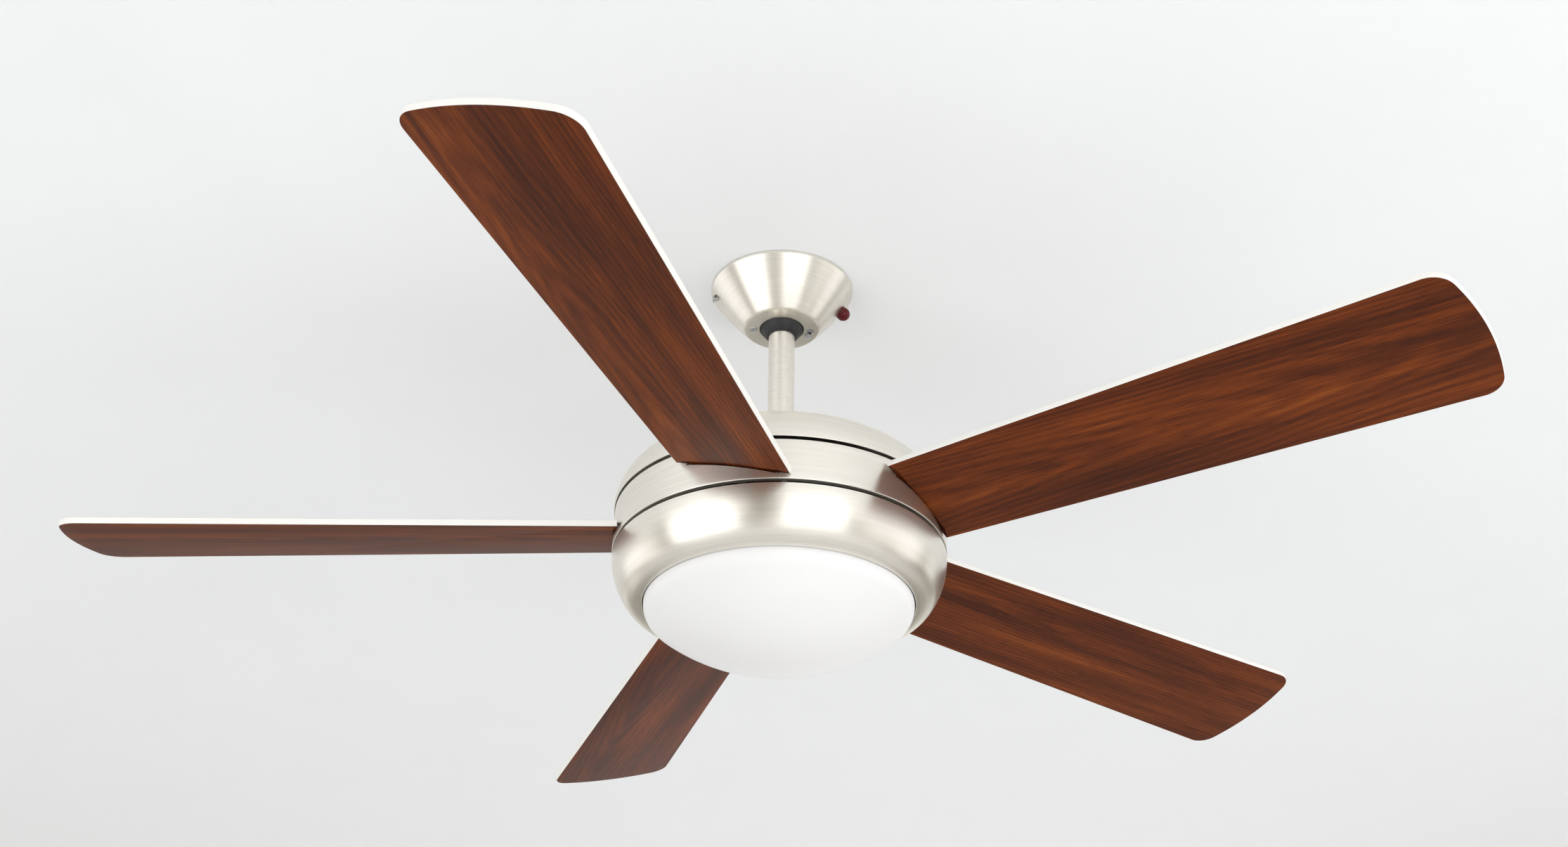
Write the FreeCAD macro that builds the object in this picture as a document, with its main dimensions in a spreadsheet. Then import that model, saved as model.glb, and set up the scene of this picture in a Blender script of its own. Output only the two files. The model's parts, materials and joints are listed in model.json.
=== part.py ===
import FreeCAD, Part
import math
import os
import re

import Sketcher

# Five-blade ceiling fan with an opal light, hung from a canopy by a short downrod.
# Frame: +Z up, origin at the centre of the hanger bracket's top face, on the ceiling.
# The still parts are the canopy, downrod, top housing, lower bowl and light kit.
# The band between the housings turns with the motor's rotor, the arms and the blades.

doc = FreeCAD.newDocument("ceiling_fan")
sheet = doc.addObject("Spreadsheet::Sheet", "Sizes")

SIZES = [
    # overall
    ("blade_sweep", 1320, "diameter over the blade tips"),
    ("blade_count", 5, "blades around the motor"),
    ("blade_drop", 284.5, "ceiling to the plane of the blades"),
    ("housing_radius", 156, "outer radius of the top housing and the lower bowl"),
    ("wall", 1.2, "sheet steel of the housings"),
    ("slip", 0.05, "radial clearance of a pin, screw or shaft in its hole"),
    ("seat_gap", 0.3, "clearance of curved faces that slide"),
    # canopy and hanger
    ("canopy_radius", 71.5, "canopy at the ceiling"),
    ("canopy_depth", 46.4, "ceiling to the canopy's flat ring"),
    ("canopy_rim", 2.5, "upright rim of the canopy"),
    ("canopy_ring", 35.2, "outer radius of the canopy's flat ring"),
    ("canopy_bend", 1.5, "height of the bend into the flat ring"),
    ("canopy_flare", 38.6, "radius where the side meets that bend"),
    ("canopy_side_arc", 480, "radius of the canopy's side in section"),
    ("canopy_bend_arc", 3.5, "inner radius of the bend in section"),
    ("canopy_hole", 22, "hole that the ball looks out of"),
    ("canopy_wall", 1, "sheet of the canopy"),
    ("ring_screw_radius", 28.5, "canopy ring screws from the axis"),
    ("side_screw_drop", 10, "ceiling to the canopy's side screw"),
    ("lens_azimuth", 12, "infra-red window around the canopy"),
    ("lens_drop", 16, "ceiling to the infra-red window"),
    ("lens_radius", 7, "infra-red window"),
    ("lens_tilt", 38, "infra-red window below the horizontal"),
    ("plate_long", 112, "hanger plate across the ceiling box"),
    ("plate_wide", 44, "hanger plate"),
    ("plate_thick", 2, "hanger plate, arms and ring"),
    ("slot_pitch", 83, "ceiling-box screw slots, centre to centre"),
    ("slot_long", 14, "ceiling-box screw slot, end to end"),
    ("slot_half", 2.6, "half the width of a ceiling-box slot"),
    ("wire_hole", 9, "wire entry in the hanger plate"),
    ("wire_hole_side", 18, "wire entry from the middle of the plate"),
    ("side_tab", 58, "axis to the tab for the canopy's side screw"),
    ("key_screw_azimuth", 22, "second ring screw, in the narrow end of the keyhole"),
    ("key_turn", 18, "keyhole's wide end to its narrow end, around the axis"),
    ("arm_half", 11, "half the width of a hanger arm"),
    ("hanger_ring", 33, "outer radius of the ring below the arms"),
    ("seat_outer", 30, "outer radius of the ball's seat"),
    ("seat_height", 5.2, "height of the ball's seat"),
    ("seat_spigot", 24.4, "seat where it passes through the ring"),
    ("seat_mouth", 27.6, "gap in the seat and the ring that lets the rod in"),
    ("ball_radius", 23, "hanger ball"),
    ("ball_drop", 38, "ceiling to the ball's centre"),
    ("ball_nose", 18, "ball's centre to its cut-off foot"),
    ("key_radius", 3, "key pin that stops the ball spinning"),
    ("key_depth", 16.5, "ball's centre to the key pin's tip"),
    ("key_groove", 15, "ball's centre to the bottom of the key groove"),
    ("pin_radius", 2.5, "cross pins of the ball and of the coupling"),
    ("rod_radius", 13, "downrod"),
    ("rod_wall", 2, "downrod"),
    ("lead_radius", 1, "insulated lead"),
    ("lead_side", 3.7, "leads beside the axis, clear of the cross pins"),
    ("lead_pitch", 2.2, "between the leads"),
    # top housing and coupling
    ("upper_gap", 2.7, "between the top housing and the band"),
    ("dome_height", 49.5, "top housing"),
    ("dome_shoulder", 42, "radius of the top housing's shoulder in section"),
    ("dome_rise", 6, "rise of the top housing from shoulder to middle"),
    ("dome_flat", 50, "flat middle of the top housing"),
    ("coupling_radius", 19, "coupling around the downrod"),
    ("coupling_rise", 28, "coupling above the top housing"),
    ("coupling_flange", 46, "coupling's flange"),
    ("flange_thick", 4, "coupling's flange"),
    ("coupling_boss", 12, "coupling below its flange"),
    ("shaft_pin_radius", 1.5, "pin that locks the shaft in the coupling"),
    ("housing_screw_circle", 38, "top housing screws from the axis"),
    ("cover_radius", 30, "coupling cover"),
    ("cover_height", 33, "coupling cover"),
    # motor
    ("shaft_radius", 8.5, "hollow motor shaft"),
    ("shaft_bore", 6, "wire way through the shaft"),
    ("stator_radius", 70, "stator core"),
    ("air_gap", 0.5, "stator to rotor"),
    ("rotor_radius", 85, "rotor ring"),
    ("core_half", 10, "half the height of the stator core"),
    ("winding_inner", 36, "stator windings"),
    ("winding_outer", 66, "stator windings"),
    ("winding_end", 10.5, "windings beyond the core"),
    ("slot_count", 18, "stator slots"),
    ("shell_up", 30, "motor's middle to the upper shell's top"),
    ("shell_down", 29, "motor's middle to the lower shell's foot"),
    ("shell_wall", 2.5, "cast motor shells"),
    ("shell_flange", 106, "outer radius of the shells' flanges"),
    ("shell_flange_thick", 3, "each flange"),
    ("bearing_outer", 20, "ball bearing"),
    ("bearing_width", 12, "ball bearing"),
    ("bearing_ball", 3.4, "ball of the bearing"),
    ("bearing_balls_each", 8, "balls in each bearing"),
    ("race_gap", 0.1, "ball to its race"),
    # band, arms and blades
    ("band_above", 20.3, "plane of the blades to the band's top"),
    ("band_below", 19.7, "plane of the blades to the band's foot"),
    ("band_taper", 0.8, "growth of the band's radius from top to foot"),
    ("band_flange", 8, "inward flange at the band's top"),
    ("band_lip", 5, "inward lip at the band's foot"),
    ("carrier_thick", 1.5, "spoked plate that carries the band"),
    ("spoke_half", 9, "half the width of a spoke"),
    ("carrier_inner", 90, "inner radius of the spoked plate"),
    ("first_azimuth", 180, "first blade around the axis"),
    ("pitch", 14, "blade pitch, trailing edge low"),
    ("droop", 0.78, "blade droop"),
    ("blade_offset", 5, "blade's centre line beside the radius"),
    ("blade_thick", 5.5, "blade board"),
    ("blade_root_half", 49.5, "half width of the blade carried in to the axis"),
    ("blade_growth", 0.0311, "growth of that half width with radius"),
    ("tip_arc", 225, "radius of the blade's tip in plan"),
    ("tip_corner", 21, "radius of the blade's tip corners"),
    ("root_gap", 3.5, "band to the blade's shoulders"),
    ("tongue_half", 40.5, "half the width of the blade's tongue"),
    ("tongue_end", 112, "axis to the tongue's end"),
    ("blade_slot_side", 3.5, "slot wider than the tongue, each side"),
    ("blade_slot_over", 1.5, "slot taller than the blade, above and below"),
    ("arm_thick", 3, "pressed steel arm"),
    ("arm_foot_half", 28, "half the width of the arm's foot"),
    ("arm_gap", 0.5, "lower shell's barrel to the arm's foot"),
    ("arm_foot_end", 106.5, "axis to the start of the arm's twist"),
    ("arm_pad_start", 112, "axis to the end of the arm's twist"),
    ("arm_pad_end", 148, "axis to the arm's end"),
    ("arm_pad_half", 36, "half the width of the arm's pad"),
    ("arm_screw_circle", 96, "arm screws from the axis"),
    ("arm_screw_side", 18, "arm screws beside the radius"),
    # light kit
    ("lower_gap", 3.8, "between the band and the lower bowl"),
    ("bowl_depth", 46, "lower bowl"),
    ("bowl_mouth", 126.5, "radius of the lower bowl's mouth"),
    ("bowl_turn", 34, "angle at which the side passes into the lower turn"),
    ("bowl_flange", 118, "inner radius of the bowl's top flange"),
    ("kit_plate", 134, "light kit's steel plate"),
    ("kit_plate_thick", 1.5, "light kit's steel plate"),
    ("bowl_screw_circle", 126, "bowl screws from the axis"),
    ("shaft_below", 10, "shaft below the kit plate"),
    ("nut_radius", 12, "shaft nut"),
    ("nut_thick", 5, "shaft nut"),
    ("pan_drop", 18, "kit plate to the lamp pan"),
    ("pan_radius", 113, "lamp pan"),
    ("pan_skirt", 22, "lamp pan's skirt"),
    ("pan_screw_circle", 70, "lamp pan posts from the axis"),
    ("post_radius", 5, "lamp pan post"),
    ("pan_pin_radius", 2, "pins that hold the shade"),
    ("pan_pin_reach", 4, "pins beyond the skirt"),
    ("collar_inner", 118, "shade collar"),
    ("collar_height", 16, "shade collar"),
    ("lug_reach", 3.2, "collar lugs, inwards"),
    ("lug_span", 22, "collar lug, around the axis"),
    ("lug_thick", 3, "collar lug"),
    ("glass_gap", 1.7, "bowl's mouth to the glass"),
    ("glass_wall", 3.5, "opal glass"),
    ("glass_above", 13, "glass inside the bowl"),
    ("glass_below", 1.5, "upright glass below the bowl"),
    ("shade_drop", 53.8, "bowl's mouth to the glass's lowest point"),
    ("shade_turn", 14, "outer radius of the glass's lower turn in section"),
    ("gasket_thick", 1.5, "shade gasket"),
    ("socket_radius", 15, "lamp socket"),
    ("socket_long", 30, "lamp socket"),
    ("socket_side", 29, "sockets beside the middle"),
    ("socket_far", 88, "axis to the back of a socket"),
    ("bulb_radius", 23, "bulb"),
    ("bulb_neck", 11, "bulb's cap"),
    ("bulb_long", 72, "bulb beyond its socket"),
]

NAMES = {name for name, value, meaning in SIZES}
for row, (name, value, meaning) in enumerate(SIZES, start=1):
    sheet.set(f"A{row}", name)
    sheet.set(f"B{row}", str(value))
    sheet.set(f"C{row}", meaning)
    sheet.setAlias(f"B{row}", name)
doc.recompute()

# Heights, worked out from the sizes. Each is the text of an expression.
BAND_TOP = "(-blade_drop + band_above)"
BAND_FOOT = "(-blade_drop - band_below)"
DOME_FOOT = f"({BAND_TOP} + upper_gap)"
DOME_TOP = f"({DOME_FOOT} + dome_height)"
DOME_SIDE = f"({DOME_TOP} - dome_rise - dome_shoulder)"
DOME_UNDER = f"({DOME_TOP} - wall)"
RING_TOP = "(-canopy_depth + canopy_wall)"
HANGER_FOOT = f"({RING_TOP} + 0.2)"
HANGER_RING_TOP = f"({HANGER_FOOT} + plate_thick)"
ROD_TOP = "(-ball_drop + ball_radius - 1)"
ROD_FOOT = f"({DOME_UNDER} - 1)"
COUPLING_TOP = f"({DOME_TOP} + coupling_rise)"
FLANGE_FOOT = f"({DOME_UNDER} - flange_thick)"
BOSS_FOOT = f"({FLANGE_FOOT} - coupling_boss)"
CARRIER_FOOT = f"({BAND_TOP} - wall - carrier_thick)"
MOTOR_MIDDLE = f"({CARRIER_FOOT} - shell_flange_thick)"
ARM_TOP = f"({MOTOR_MIDDLE} - shell_flange_thick)"
SHELL_TOP = f"({MOTOR_MIDDLE} + shell_up)"
SHELL_FOOT = f"({MOTOR_MIDDLE} - shell_down)"
BOWL_TOP = f"({BAND_FOOT} - lower_gap)"
BOWL_FOOT = f"({BOWL_TOP} - bowl_depth)"
PLATE_TOP = f"({BOWL_TOP} + kit_plate_thick)"
SHAFT_FOOT = f"({BOWL_TOP} - shaft_below)"
PAN_TOP = f"({BOWL_TOP} - pan_drop)"
PAN_FOOT = f"({PAN_TOP} - pan_skirt)"
PIN_HEIGHT = f"({PAN_FOOT} + 5)"
GLASS_TOP = f"({BOWL_FOOT} + glass_above)"
GLASS_FOOT = f"({BOWL_FOOT} - shade_drop)"
GLASS_RADIUS = "(bowl_mouth - glass_gap)"
LAMP_HEIGHT = f"({PAN_TOP} - wall - bulb_radius - 2)"
BAND_RADIUS = "(housing_radius - 0.5)"

# The bowl's section is two arcs. They meet where the side leans by bowl_turn.
HALF_TURN = "tan(bowl_turn / 2)"
BOWL_SMALL = f"((housing_radius - bowl_mouth - bowl_depth * {HALF_TURN}) / (1 - {HALF_TURN}))"
BOWL_BIG = f"({BOWL_SMALL} + (bowl_depth - {BOWL_SMALL}) / sin(bowl_turn))"

BLADE_STEP = "(360 / blade_count)"


def full(text):
    """The expression with each size's name made a reference to the sheet."""
    return re.sub(r"[a-z_]+", lambda word: "Sizes." + word.group() if word.group() in NAMES else word.group(), text)


def number(text):
    """The value of an expression, in millimetres or degrees."""
    value = sheet.evalExpression(full(str(text)))
    return float(getattr(value, "Value", value))


def bind(thing, **places):
    """Binds properties to expressions. A double underscore in a name stands for a dot."""
    for place, text in places.items():
        thing.setExpression(place.replace("__", "."), full(str(text)))
    return thing


def at(thing, radius="0", azimuth="0", height="0", x=None, y=None):
    """Puts a thing at a place given from the axis, or by x and y."""
    across = x if x is not None else f"({radius}) * cos({azimuth})"
    along = y if y is not None else f"({radius}) * sin({azimuth})"
    return bind(thing, Placement__Base__x=across, Placement__Base__y=along, Placement__Base__z=height)


def aim(thing, direction):
    """Turns a thing so that its own +Z points along a direction."""
    thing.Placement.Rotation = FreeCAD.Rotation(FreeCAD.Vector(0, 0, 1), FreeCAD.Vector(*direction))
    return thing


def rod(radius, height, /, **place):
    """A solid cylinder."""
    solid = bind(doc.addObject("Part::Cylinder", "rod"), Radius=radius, Height=height)
    return at(solid, **place)


def block(length, width, height, /, **place):
    """A box, placed by its lowest corner."""
    solid = bind(doc.addObject("Part::Box", "block"), Length=length, Width=width, Height=height)
    return at(solid, **place)


def cut(base, tool, label="cut"):
    """One solid less another."""
    result = doc.addObject("Part::Cut", "cut")
    result.Base = base
    result.Tool = tool
    result.Label = label
    return result


def joined(things, label="joined"):
    """Solids that touch, made one."""
    result = doc.addObject("Part::MultiFuse", "joined")
    result.Shapes = things
    result.Label = label
    return result


def group(things, label):
    """Separate solids of one node."""
    result = doc.addObject("Part::Compound", "group")
    result.Links = things
    result.Label = label
    return result


def cut_all(base, tools, label):
    """One solid less many."""
    return cut(base, group(tools, label + " tools"), label)


def tube(outer, inner, height, /, label="tube", **place):
    """A plain tube."""
    start = dict(place)
    return cut(rod(outer, height, **start), rod(inner, height, **start), label)


def outline(sketch, corners, bends):
    """Draws a closed outline. Corners are pairs of expressions; a bend is {edge: (radius, side)},
    where side +1 puts the arc's centre to the left of the edge."""
    points = [FreeCAD.Vector(number(a), number(b), 0) for a, b in corners]
    ends = []
    for edge, start in enumerate(points):
        finish = points[(edge + 1) % len(points)]
        if edge not in bends:
            sketch.addGeometry(Part.LineSegment(start, finish))
            ends.append((1, 2))
            continue
        radius, side = number(bends[edge][0]), bends[edge][1]
        chord = finish - start
        left = FreeCAD.Vector(-chord.y, chord.x, 0) / chord.Length
        centre = (start + finish) / 2 + left * side * math.sqrt(radius ** 2 - chord.Length ** 2 / 4)
        first, last = (start, finish) if side > 0 else (finish, start)
        turns = [math.atan2(p.y - centre.y, p.x - centre.x) for p in (first, last)]
        circle = Part.Circle(centre, FreeCAD.Vector(0, 0, 1), radius)
        sketch.addGeometry(Part.ArcOfCircle(circle, turns[0], turns[1]))
        ends.append((1, 2) if side > 0 else (2, 1))
    for edge in range(len(points)):
        after = (edge + 1) % len(points)
        sketch.addConstraint(Sketcher.Constraint("Coincident", edge, ends[edge][1], after, ends[after][0]))
    for edge, (a, b) in enumerate(corners):
        for kind, text, axis in (("DistanceX", a, -2), ("DistanceY", b, -1)):
            if abs(number(text)) < 1e-9:
                sketch.addConstraint(Sketcher.Constraint("PointOnObject", edge, ends[edge][0], axis))
                continue
            held = sketch.addConstraint(Sketcher.Constraint(kind, -1, 1, edge, ends[edge][0], number(text)))
            sketch.setExpression(f"Constraints[{held}]", full(text))
    for edge, (radius, side) in bends.items():
        held = sketch.addConstraint(Sketcher.Constraint("Radius", edge, number(radius)))
        sketch.setExpression(f"Constraints[{held}]", full(radius))


def sketch_on(body, role):
    """A sketch on one of a body's own origin planes."""
    sketch = body.newObject("Sketcher::SketchObject", "outline")
    plane = [feature for feature in body.Origin.OriginFeatures if feature.Role == role][0]
    sketch.AttachmentSupport = [(plane, "")]
    sketch.MapMode = "FlatFace"
    return sketch


def turned(label, corners, bends=None):
    """A body turned about Z. Its corners are pairs of radius and height."""
    body = doc.addObject("PartDesign::Body", "turned")
    body.Label = label
    sketch = sketch_on(body, "XZ_Plane")
    outline(sketch, corners, bends or {})
    turn = body.newObject("PartDesign::Revolution", "turn")
    turn.Profile = sketch
    turn.ReferenceAxis = (sketch, ["V_Axis"])
    turn.Angle = 360
    return body


def padded(label, corners, bends, thickness):
    """A flat body: an outline in its own XY plane, with a thickness upwards."""
    body = doc.addObject("PartDesign::Body", "padded")
    body.Label = label
    sketch = sketch_on(body, "XY_Plane")
    outline(sketch, corners, bends)
    pad = body.newObject("PartDesign::Pad", "pad")
    pad.Profile = sketch
    bind(pad, Length=thickness)
    return body


def screw(shank, length, head, head_thick, direction, /, **place):
    """A pan-head screw. Its head's underside is at the place and its shank points along direction."""
    body = rod(shank, length)
    top = rod(head, head_thick)
    whole = joined([body, at(top, height=f"-({head_thick})")])
    return aim(at(whole, **place), direction)


DOWN = (0, 0, -1)
UP = (0, 0, 1)
SMALL_SCREW = ("1.9", "3.6", "2")
RUN = "slip"


def around(count, make, first="0"):
    """Calls make for each azimuth of an even ring."""
    total = int(round(number(count)))
    return [make(f"(({first}) + {turn} * 360 / ({count}))") for turn in range(total)]


def blade_place(turn, along="0", across="0", above="0"):
    """A placement in a blade's frame: X out along the blade, Y to its low edge, Z off its underside."""
    azimuth = number(f"first_azimuth + {turn} * {BLADE_STEP}")
    around_axis = FreeCAD.Rotation(FreeCAD.Vector(0, 0, 1), azimuth)
    drooped = FreeCAD.Rotation(FreeCAD.Vector(0, 1, 0), number("droop"))
    pitched = FreeCAD.Rotation(FreeCAD.Vector(1, 0, 0), -number("pitch"))
    frame = FreeCAD.Placement(FreeCAD.Vector(0, 0, -number("blade_drop")), around_axis * drooped * pitched)
    offset = FreeCAD.Vector(number(along), number(across), number(above))
    return frame * FreeCAD.Placement(offset, FreeCAD.Rotation())


def in_blade(thing, turn, along="0", across="0", above="0"):
    """Puts a thing in a blade's frame."""
    thing.Placement = blade_place(turn, along, across, above)
    return thing


# ---------------------------------------------------------------- canopy and hanger
def make_canopy():
    """Spun steel bowl with an upright rim, a nearly straight side and a flat ring."""
    side_foot = "-(canopy_depth - canopy_bend)"
    inner_foot = "-(canopy_depth - canopy_bend - canopy_wall * 0.656)"
    shell = turned(
        "canopy shell",
        [
            ("canopy_radius", "0"),
            ("canopy_radius - canopy_wall", "0"),
            ("canopy_radius - canopy_wall", "-canopy_rim"),
            ("canopy_flare - canopy_wall * 0.755", inner_foot),
            ("canopy_ring", RING_TOP),
            ("canopy_hole", RING_TOP),
            ("canopy_hole", "-canopy_depth"),
            ("canopy_ring", "-canopy_depth"),
            ("canopy_flare", side_foot),
            ("canopy_radius", "-canopy_rim"),
        ],
        {
            2: ("canopy_side_arc - canopy_wall", -1),
            3: ("canopy_bend_arc", -1),
            7: ("canopy_bend_arc + canopy_wall", 1),
            8: ("canopy_side_arc", 1),
        },
    )
    round_hole = rod("1.9 + slip * 4", "canopy_wall * 3", radius="ring_screw_radius", azimuth="180",
                     height="-canopy_depth - canopy_wall")
    key_hole = rod("3.9", "canopy_wall * 3", radius="ring_screw_radius", azimuth="key_screw_azimuth - key_turn",
                   height="-canopy_depth - canopy_wall")
    key_slots = key_way("ring_screw_radius", "key_screw_azimuth - key_turn", "key_turn")
    side_hole = aim(rod("1.9 + slip * 4", "30", x="-canopy_radius - 5", y="0", height="-side_screw_drop"), (1, 0, 0))
    window = lens_barrel("lens_radius * 0.75 + 0.4", "-12", "30")
    return cut_all(shell, [round_hole, key_hole, side_hole, window, key_slots], "canopy")


def key_way(radius, start, turn):
    """The keyhole's narrow part: a curved slot around the axis, round at its far end."""
    width = "(1.9 + slip * 4)"
    low = "-canopy_depth - canopy_wall"
    wide = bind(doc.addObject("Part::Cylinder", "slot"), Radius=f"{radius} + {width}", Height="canopy_wall * 3",
                Angle=turn)
    inner = rod(f"{radius} - {width}", "canopy_wall * 9", height="-canopy_wall * 3")
    curve = at(cut(wide, inner), height=low)
    curve.Placement.Rotation = FreeCAD.Rotation(FreeCAD.Vector(0, 0, 1), number(start))
    end = rod(width, "canopy_wall * 3", radius=radius, azimuth=f"({start}) + ({turn})", height=low)
    return joined([curve, end])


def lens_barrel(radius, start, length):
    """A cylinder along the infra-red window's own axis."""
    azimuth, tilt = math.radians(number("lens_azimuth")), math.radians(number("lens_tilt"))
    out = FreeCAD.Vector(math.cos(azimuth) * math.cos(tilt), math.sin(azimuth) * math.cos(tilt), -math.sin(tilt))
    reach = lens_reach()
    barrel = bind(doc.addObject("Part::Cylinder", "rod"), Radius=radius, Height=length)
    foot = FreeCAD.Vector(reach * math.cos(azimuth), reach * math.sin(azimuth), -number("lens_drop"))
    barrel.Placement = FreeCAD.Placement(foot + out * number(start), FreeCAD.Rotation(FreeCAD.Vector(0, 0, 1), out))
    return barrel


def lens_reach():
    """The canopy's radius at the window's height, taking its side as straight."""
    fall = number("(lens_drop - canopy_rim) / (canopy_depth - canopy_bend - canopy_rim)")
    return number("canopy_radius") - fall * number("canopy_radius - canopy_flare") + 0.5


def make_lens():
    """Round red window on a stem that passes through the canopy's wall."""
    dome = doc.addObject("Part::Sphere", "dome")
    bind(dome, Radius="lens_radius")
    dome.Placement = lens_barrel("1", "3", "1").Placement
    stem = lens_barrel("lens_radius * 0.75", "-9", "12")
    return joined([dome, stem], "receiver_lens")


def make_bracket():
    """Hanger bracket: a slotted plate, two arms and the ring that carries the ball's seat."""
    plate = block("plate_wide", "plate_long", "plate_thick", x="-plate_wide / 2", y="-plate_long / 2",
                  height="-plate_thick")
    plate_wings = block("(hanger_ring + plate_thick) * 2", "arm_half * 2", "plate_thick",
                        x="-hanger_ring - plate_thick", y="-arm_half", height="-plate_thick")
    arm_height = f"(-({HANGER_FOOT}))"
    arms = [
        block("plate_thick", "arm_half * 2", arm_height, x=f"{side} - plate_thick / 2", y="-arm_half",
              height=HANGER_FOOT)
        for side in ("-hanger_ring + plate_thick", "hanger_ring - plate_thick")
    ]
    ring = rod("hanger_ring", "plate_thick", height=HANGER_FOOT)
    tab = [
        block("side_tab - hanger_ring + 3", "16", "plate_thick", x="-side_tab", y="-8", height="-plate_thick"),
        block("plate_thick", "16", "side_screw_drop + 5", x="-side_tab", y="-8", height="-side_screw_drop - 5"),
    ]
    solid = joined([plate, plate_wings, ring] + arms + tab)
    tools = [
        rod("wire_hole", "plate_thick * 3", x="0", y="-wire_hole_side", height="-plate_thick * 2"),
        rod("seat_spigot + slip", "plate_thick * 3", height=f"{HANGER_FOOT} - plate_thick"),
        block("seat_mouth", "hanger_ring * 2", "plate_thick * 3", x="-seat_mouth / 2", y="-hanger_ring * 2",
              height=f"{HANGER_FOOT} - plate_thick"),
        rod("1.9 + slip", "plate_thick * 3", radius="ring_screw_radius", azimuth="180",
            height=f"{HANGER_FOOT} - plate_thick"),
        rod("1.9 + slip", "plate_thick * 3", radius="ring_screw_radius", azimuth="key_screw_azimuth",
            height=f"{HANGER_FOOT} - plate_thick"),
        aim(rod("1.9 + slip", "12", x="-side_tab - 5", y="0", height="-side_screw_drop"), (1, 0, 0)),
        rod("1.9 + slip", "plate_thick * 3", x="0", y="plate_long / 2 - 34", height="-plate_thick * 2"),
    ]
    for side in ("-slot_pitch / 2", "slot_pitch / 2"):
        tools.append(block("slot_half * 2", "slot_long - slot_half * 2", "plate_thick * 3", x="-slot_half",
                           y=f"{side} - slot_long / 2 + slot_half", height="-plate_thick * 2"))
        for end in ("-1", "1"):
            tools.append(rod("slot_half", "plate_thick * 3", x="0",
                             y=f"{side} + {end} * (slot_long / 2 - slot_half)", height="-plate_thick * 2"))
    return cut_all(solid, tools, "hanger_bracket")


def make_seat():
    """Nylon seat: a ring with a spherical bore, open at the front so that the rod can enter."""
    ring = joined([
        rod("seat_outer", "seat_height", height=HANGER_RING_TOP),
        rod("seat_spigot", "plate_thick", height=HANGER_FOOT),
        block("key_radius * 2 + 8", "7.5", "12", x="-key_radius - 4", y="seat_outer - 8", height=HANGER_RING_TOP),
    ])
    drop_in = rod("ball_radius + seat_gap", "ball_radius", height="-ball_drop")
    hollow = at(bind(doc.addObject("Part::Sphere", "bore"), Radius="ball_radius + seat_gap"), height="-ball_drop")
    mouth = block("seat_mouth", "seat_outer * 2", "seat_height * 3", x="-seat_mouth / 2", y="-seat_outer * 2",
                  height=f"{HANGER_RING_TOP} - seat_height")
    key_way = aim(rod("key_radius + slip", "seat_outer", x="0", y="ball_radius / 2", height="-ball_drop"), (0, 1, 0))
    screw_ways = [
        rod("2.4", "seat_height * 3", radius="ring_screw_radius", azimuth=azimuth,
            height=f"{HANGER_RING_TOP} - seat_height")
        for azimuth in ("key_screw_azimuth", "180")
    ]
    return cut_all(ring, [hollow, drop_in, mouth, key_way] + screw_ways, "ball_seat")


def make_ball():
    """Nylon ball, cut off flat at its foot, bored for the rod and grooved for the key pin."""
    sphere = at(bind(doc.addObject("Part::Sphere", "sphere"), Radius="ball_radius"), height="-ball_drop")
    tools = [
        rod("rod_radius + slip", "ball_radius * 3", height="-ball_drop - ball_radius * 1.5"),
        rod("ball_radius", "ball_radius", height="-ball_drop - ball_nose - ball_radius"),
        block("key_radius * 2 + 0.3", "ball_radius", "ball_radius * 3", x="-key_radius - 0.15", y="key_groove",
              height="-ball_drop - ball_radius * 1.5"),
        aim(rod("pin_radius + slip", "ball_radius * 3", x="-ball_radius * 1.5", y="0", height="-ball_drop"),
            (1, 0, 0)),
        aim(rod("2.5 + slip", "ball_radius", x="0", y="-rod_radius", height="-ball_drop + 4"), (0, -1, 0)),
    ]
    return cut_all(sphere, tools, "hanger_ball")


def make_hanger_small_parts():
    """The pins, screws, receiver and leads around the ball."""
    key = aim(rod("key_radius", "seat_outer - key_depth", x="0", y="key_depth", height="-ball_drop"), (0, 1, 0))
    key.Label = "ball_key_pin"
    cross = aim(rod("pin_radius", "(ball_radius - 1.5) * 2", x="-ball_radius + 1.5", y="0", height="-ball_drop"),
                (1, 0, 0))
    cross.Label = "ball_cross_pin"
    ring_screws = [
        screw("1.9", "canopy_wall + plate_thick + 2", "3.6", "1.8", UP, radius="ring_screw_radius", azimuth=azimuth,
              height="-canopy_depth")
        for azimuth in ("180", "key_screw_azimuth")
    ]
    group(ring_screws, "canopy_ring_screws")
    side_radius = "(canopy_radius - (side_screw_drop - canopy_rim) * 0.76 + 3)"
    side = screw("1.9", f"{side_radius} - side_tab + 5", "3.6", "1.8", (1, 0, 0), x=f"-{side_radius}",
                 y="0", height="-side_screw_drop")
    side.Label = "canopy_side_screw"
    earth = screw("1.9", "plate_thick - 0.1", "3.6", "1.8", UP, x="0", y="plate_long / 2 - 34", height="-plate_thick")
    earth.Label = "earth_screw"
    box = block("12.7", "40", "14", x="hanger_ring + plate_thick + 2", y="-20", height="-plate_thick - 14")
    box.Label = "receiver_box"
    leads = [rod("lead_radius", f"-({SHAFT_FOOT}) - 6", x=f"{step} * lead_pitch", y="lead_side",
                 height=f"{SHAFT_FOOT} - 4") for step in (-1, 0, 1)]
    group(leads, "fan_leads")
    plug = block("lead_pitch * 2 + 4.4", "5", "6", x="-lead_pitch - 2.2", y="lead_side - 2.5", height="-10")
    plug.Label = "lead_plug"


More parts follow.
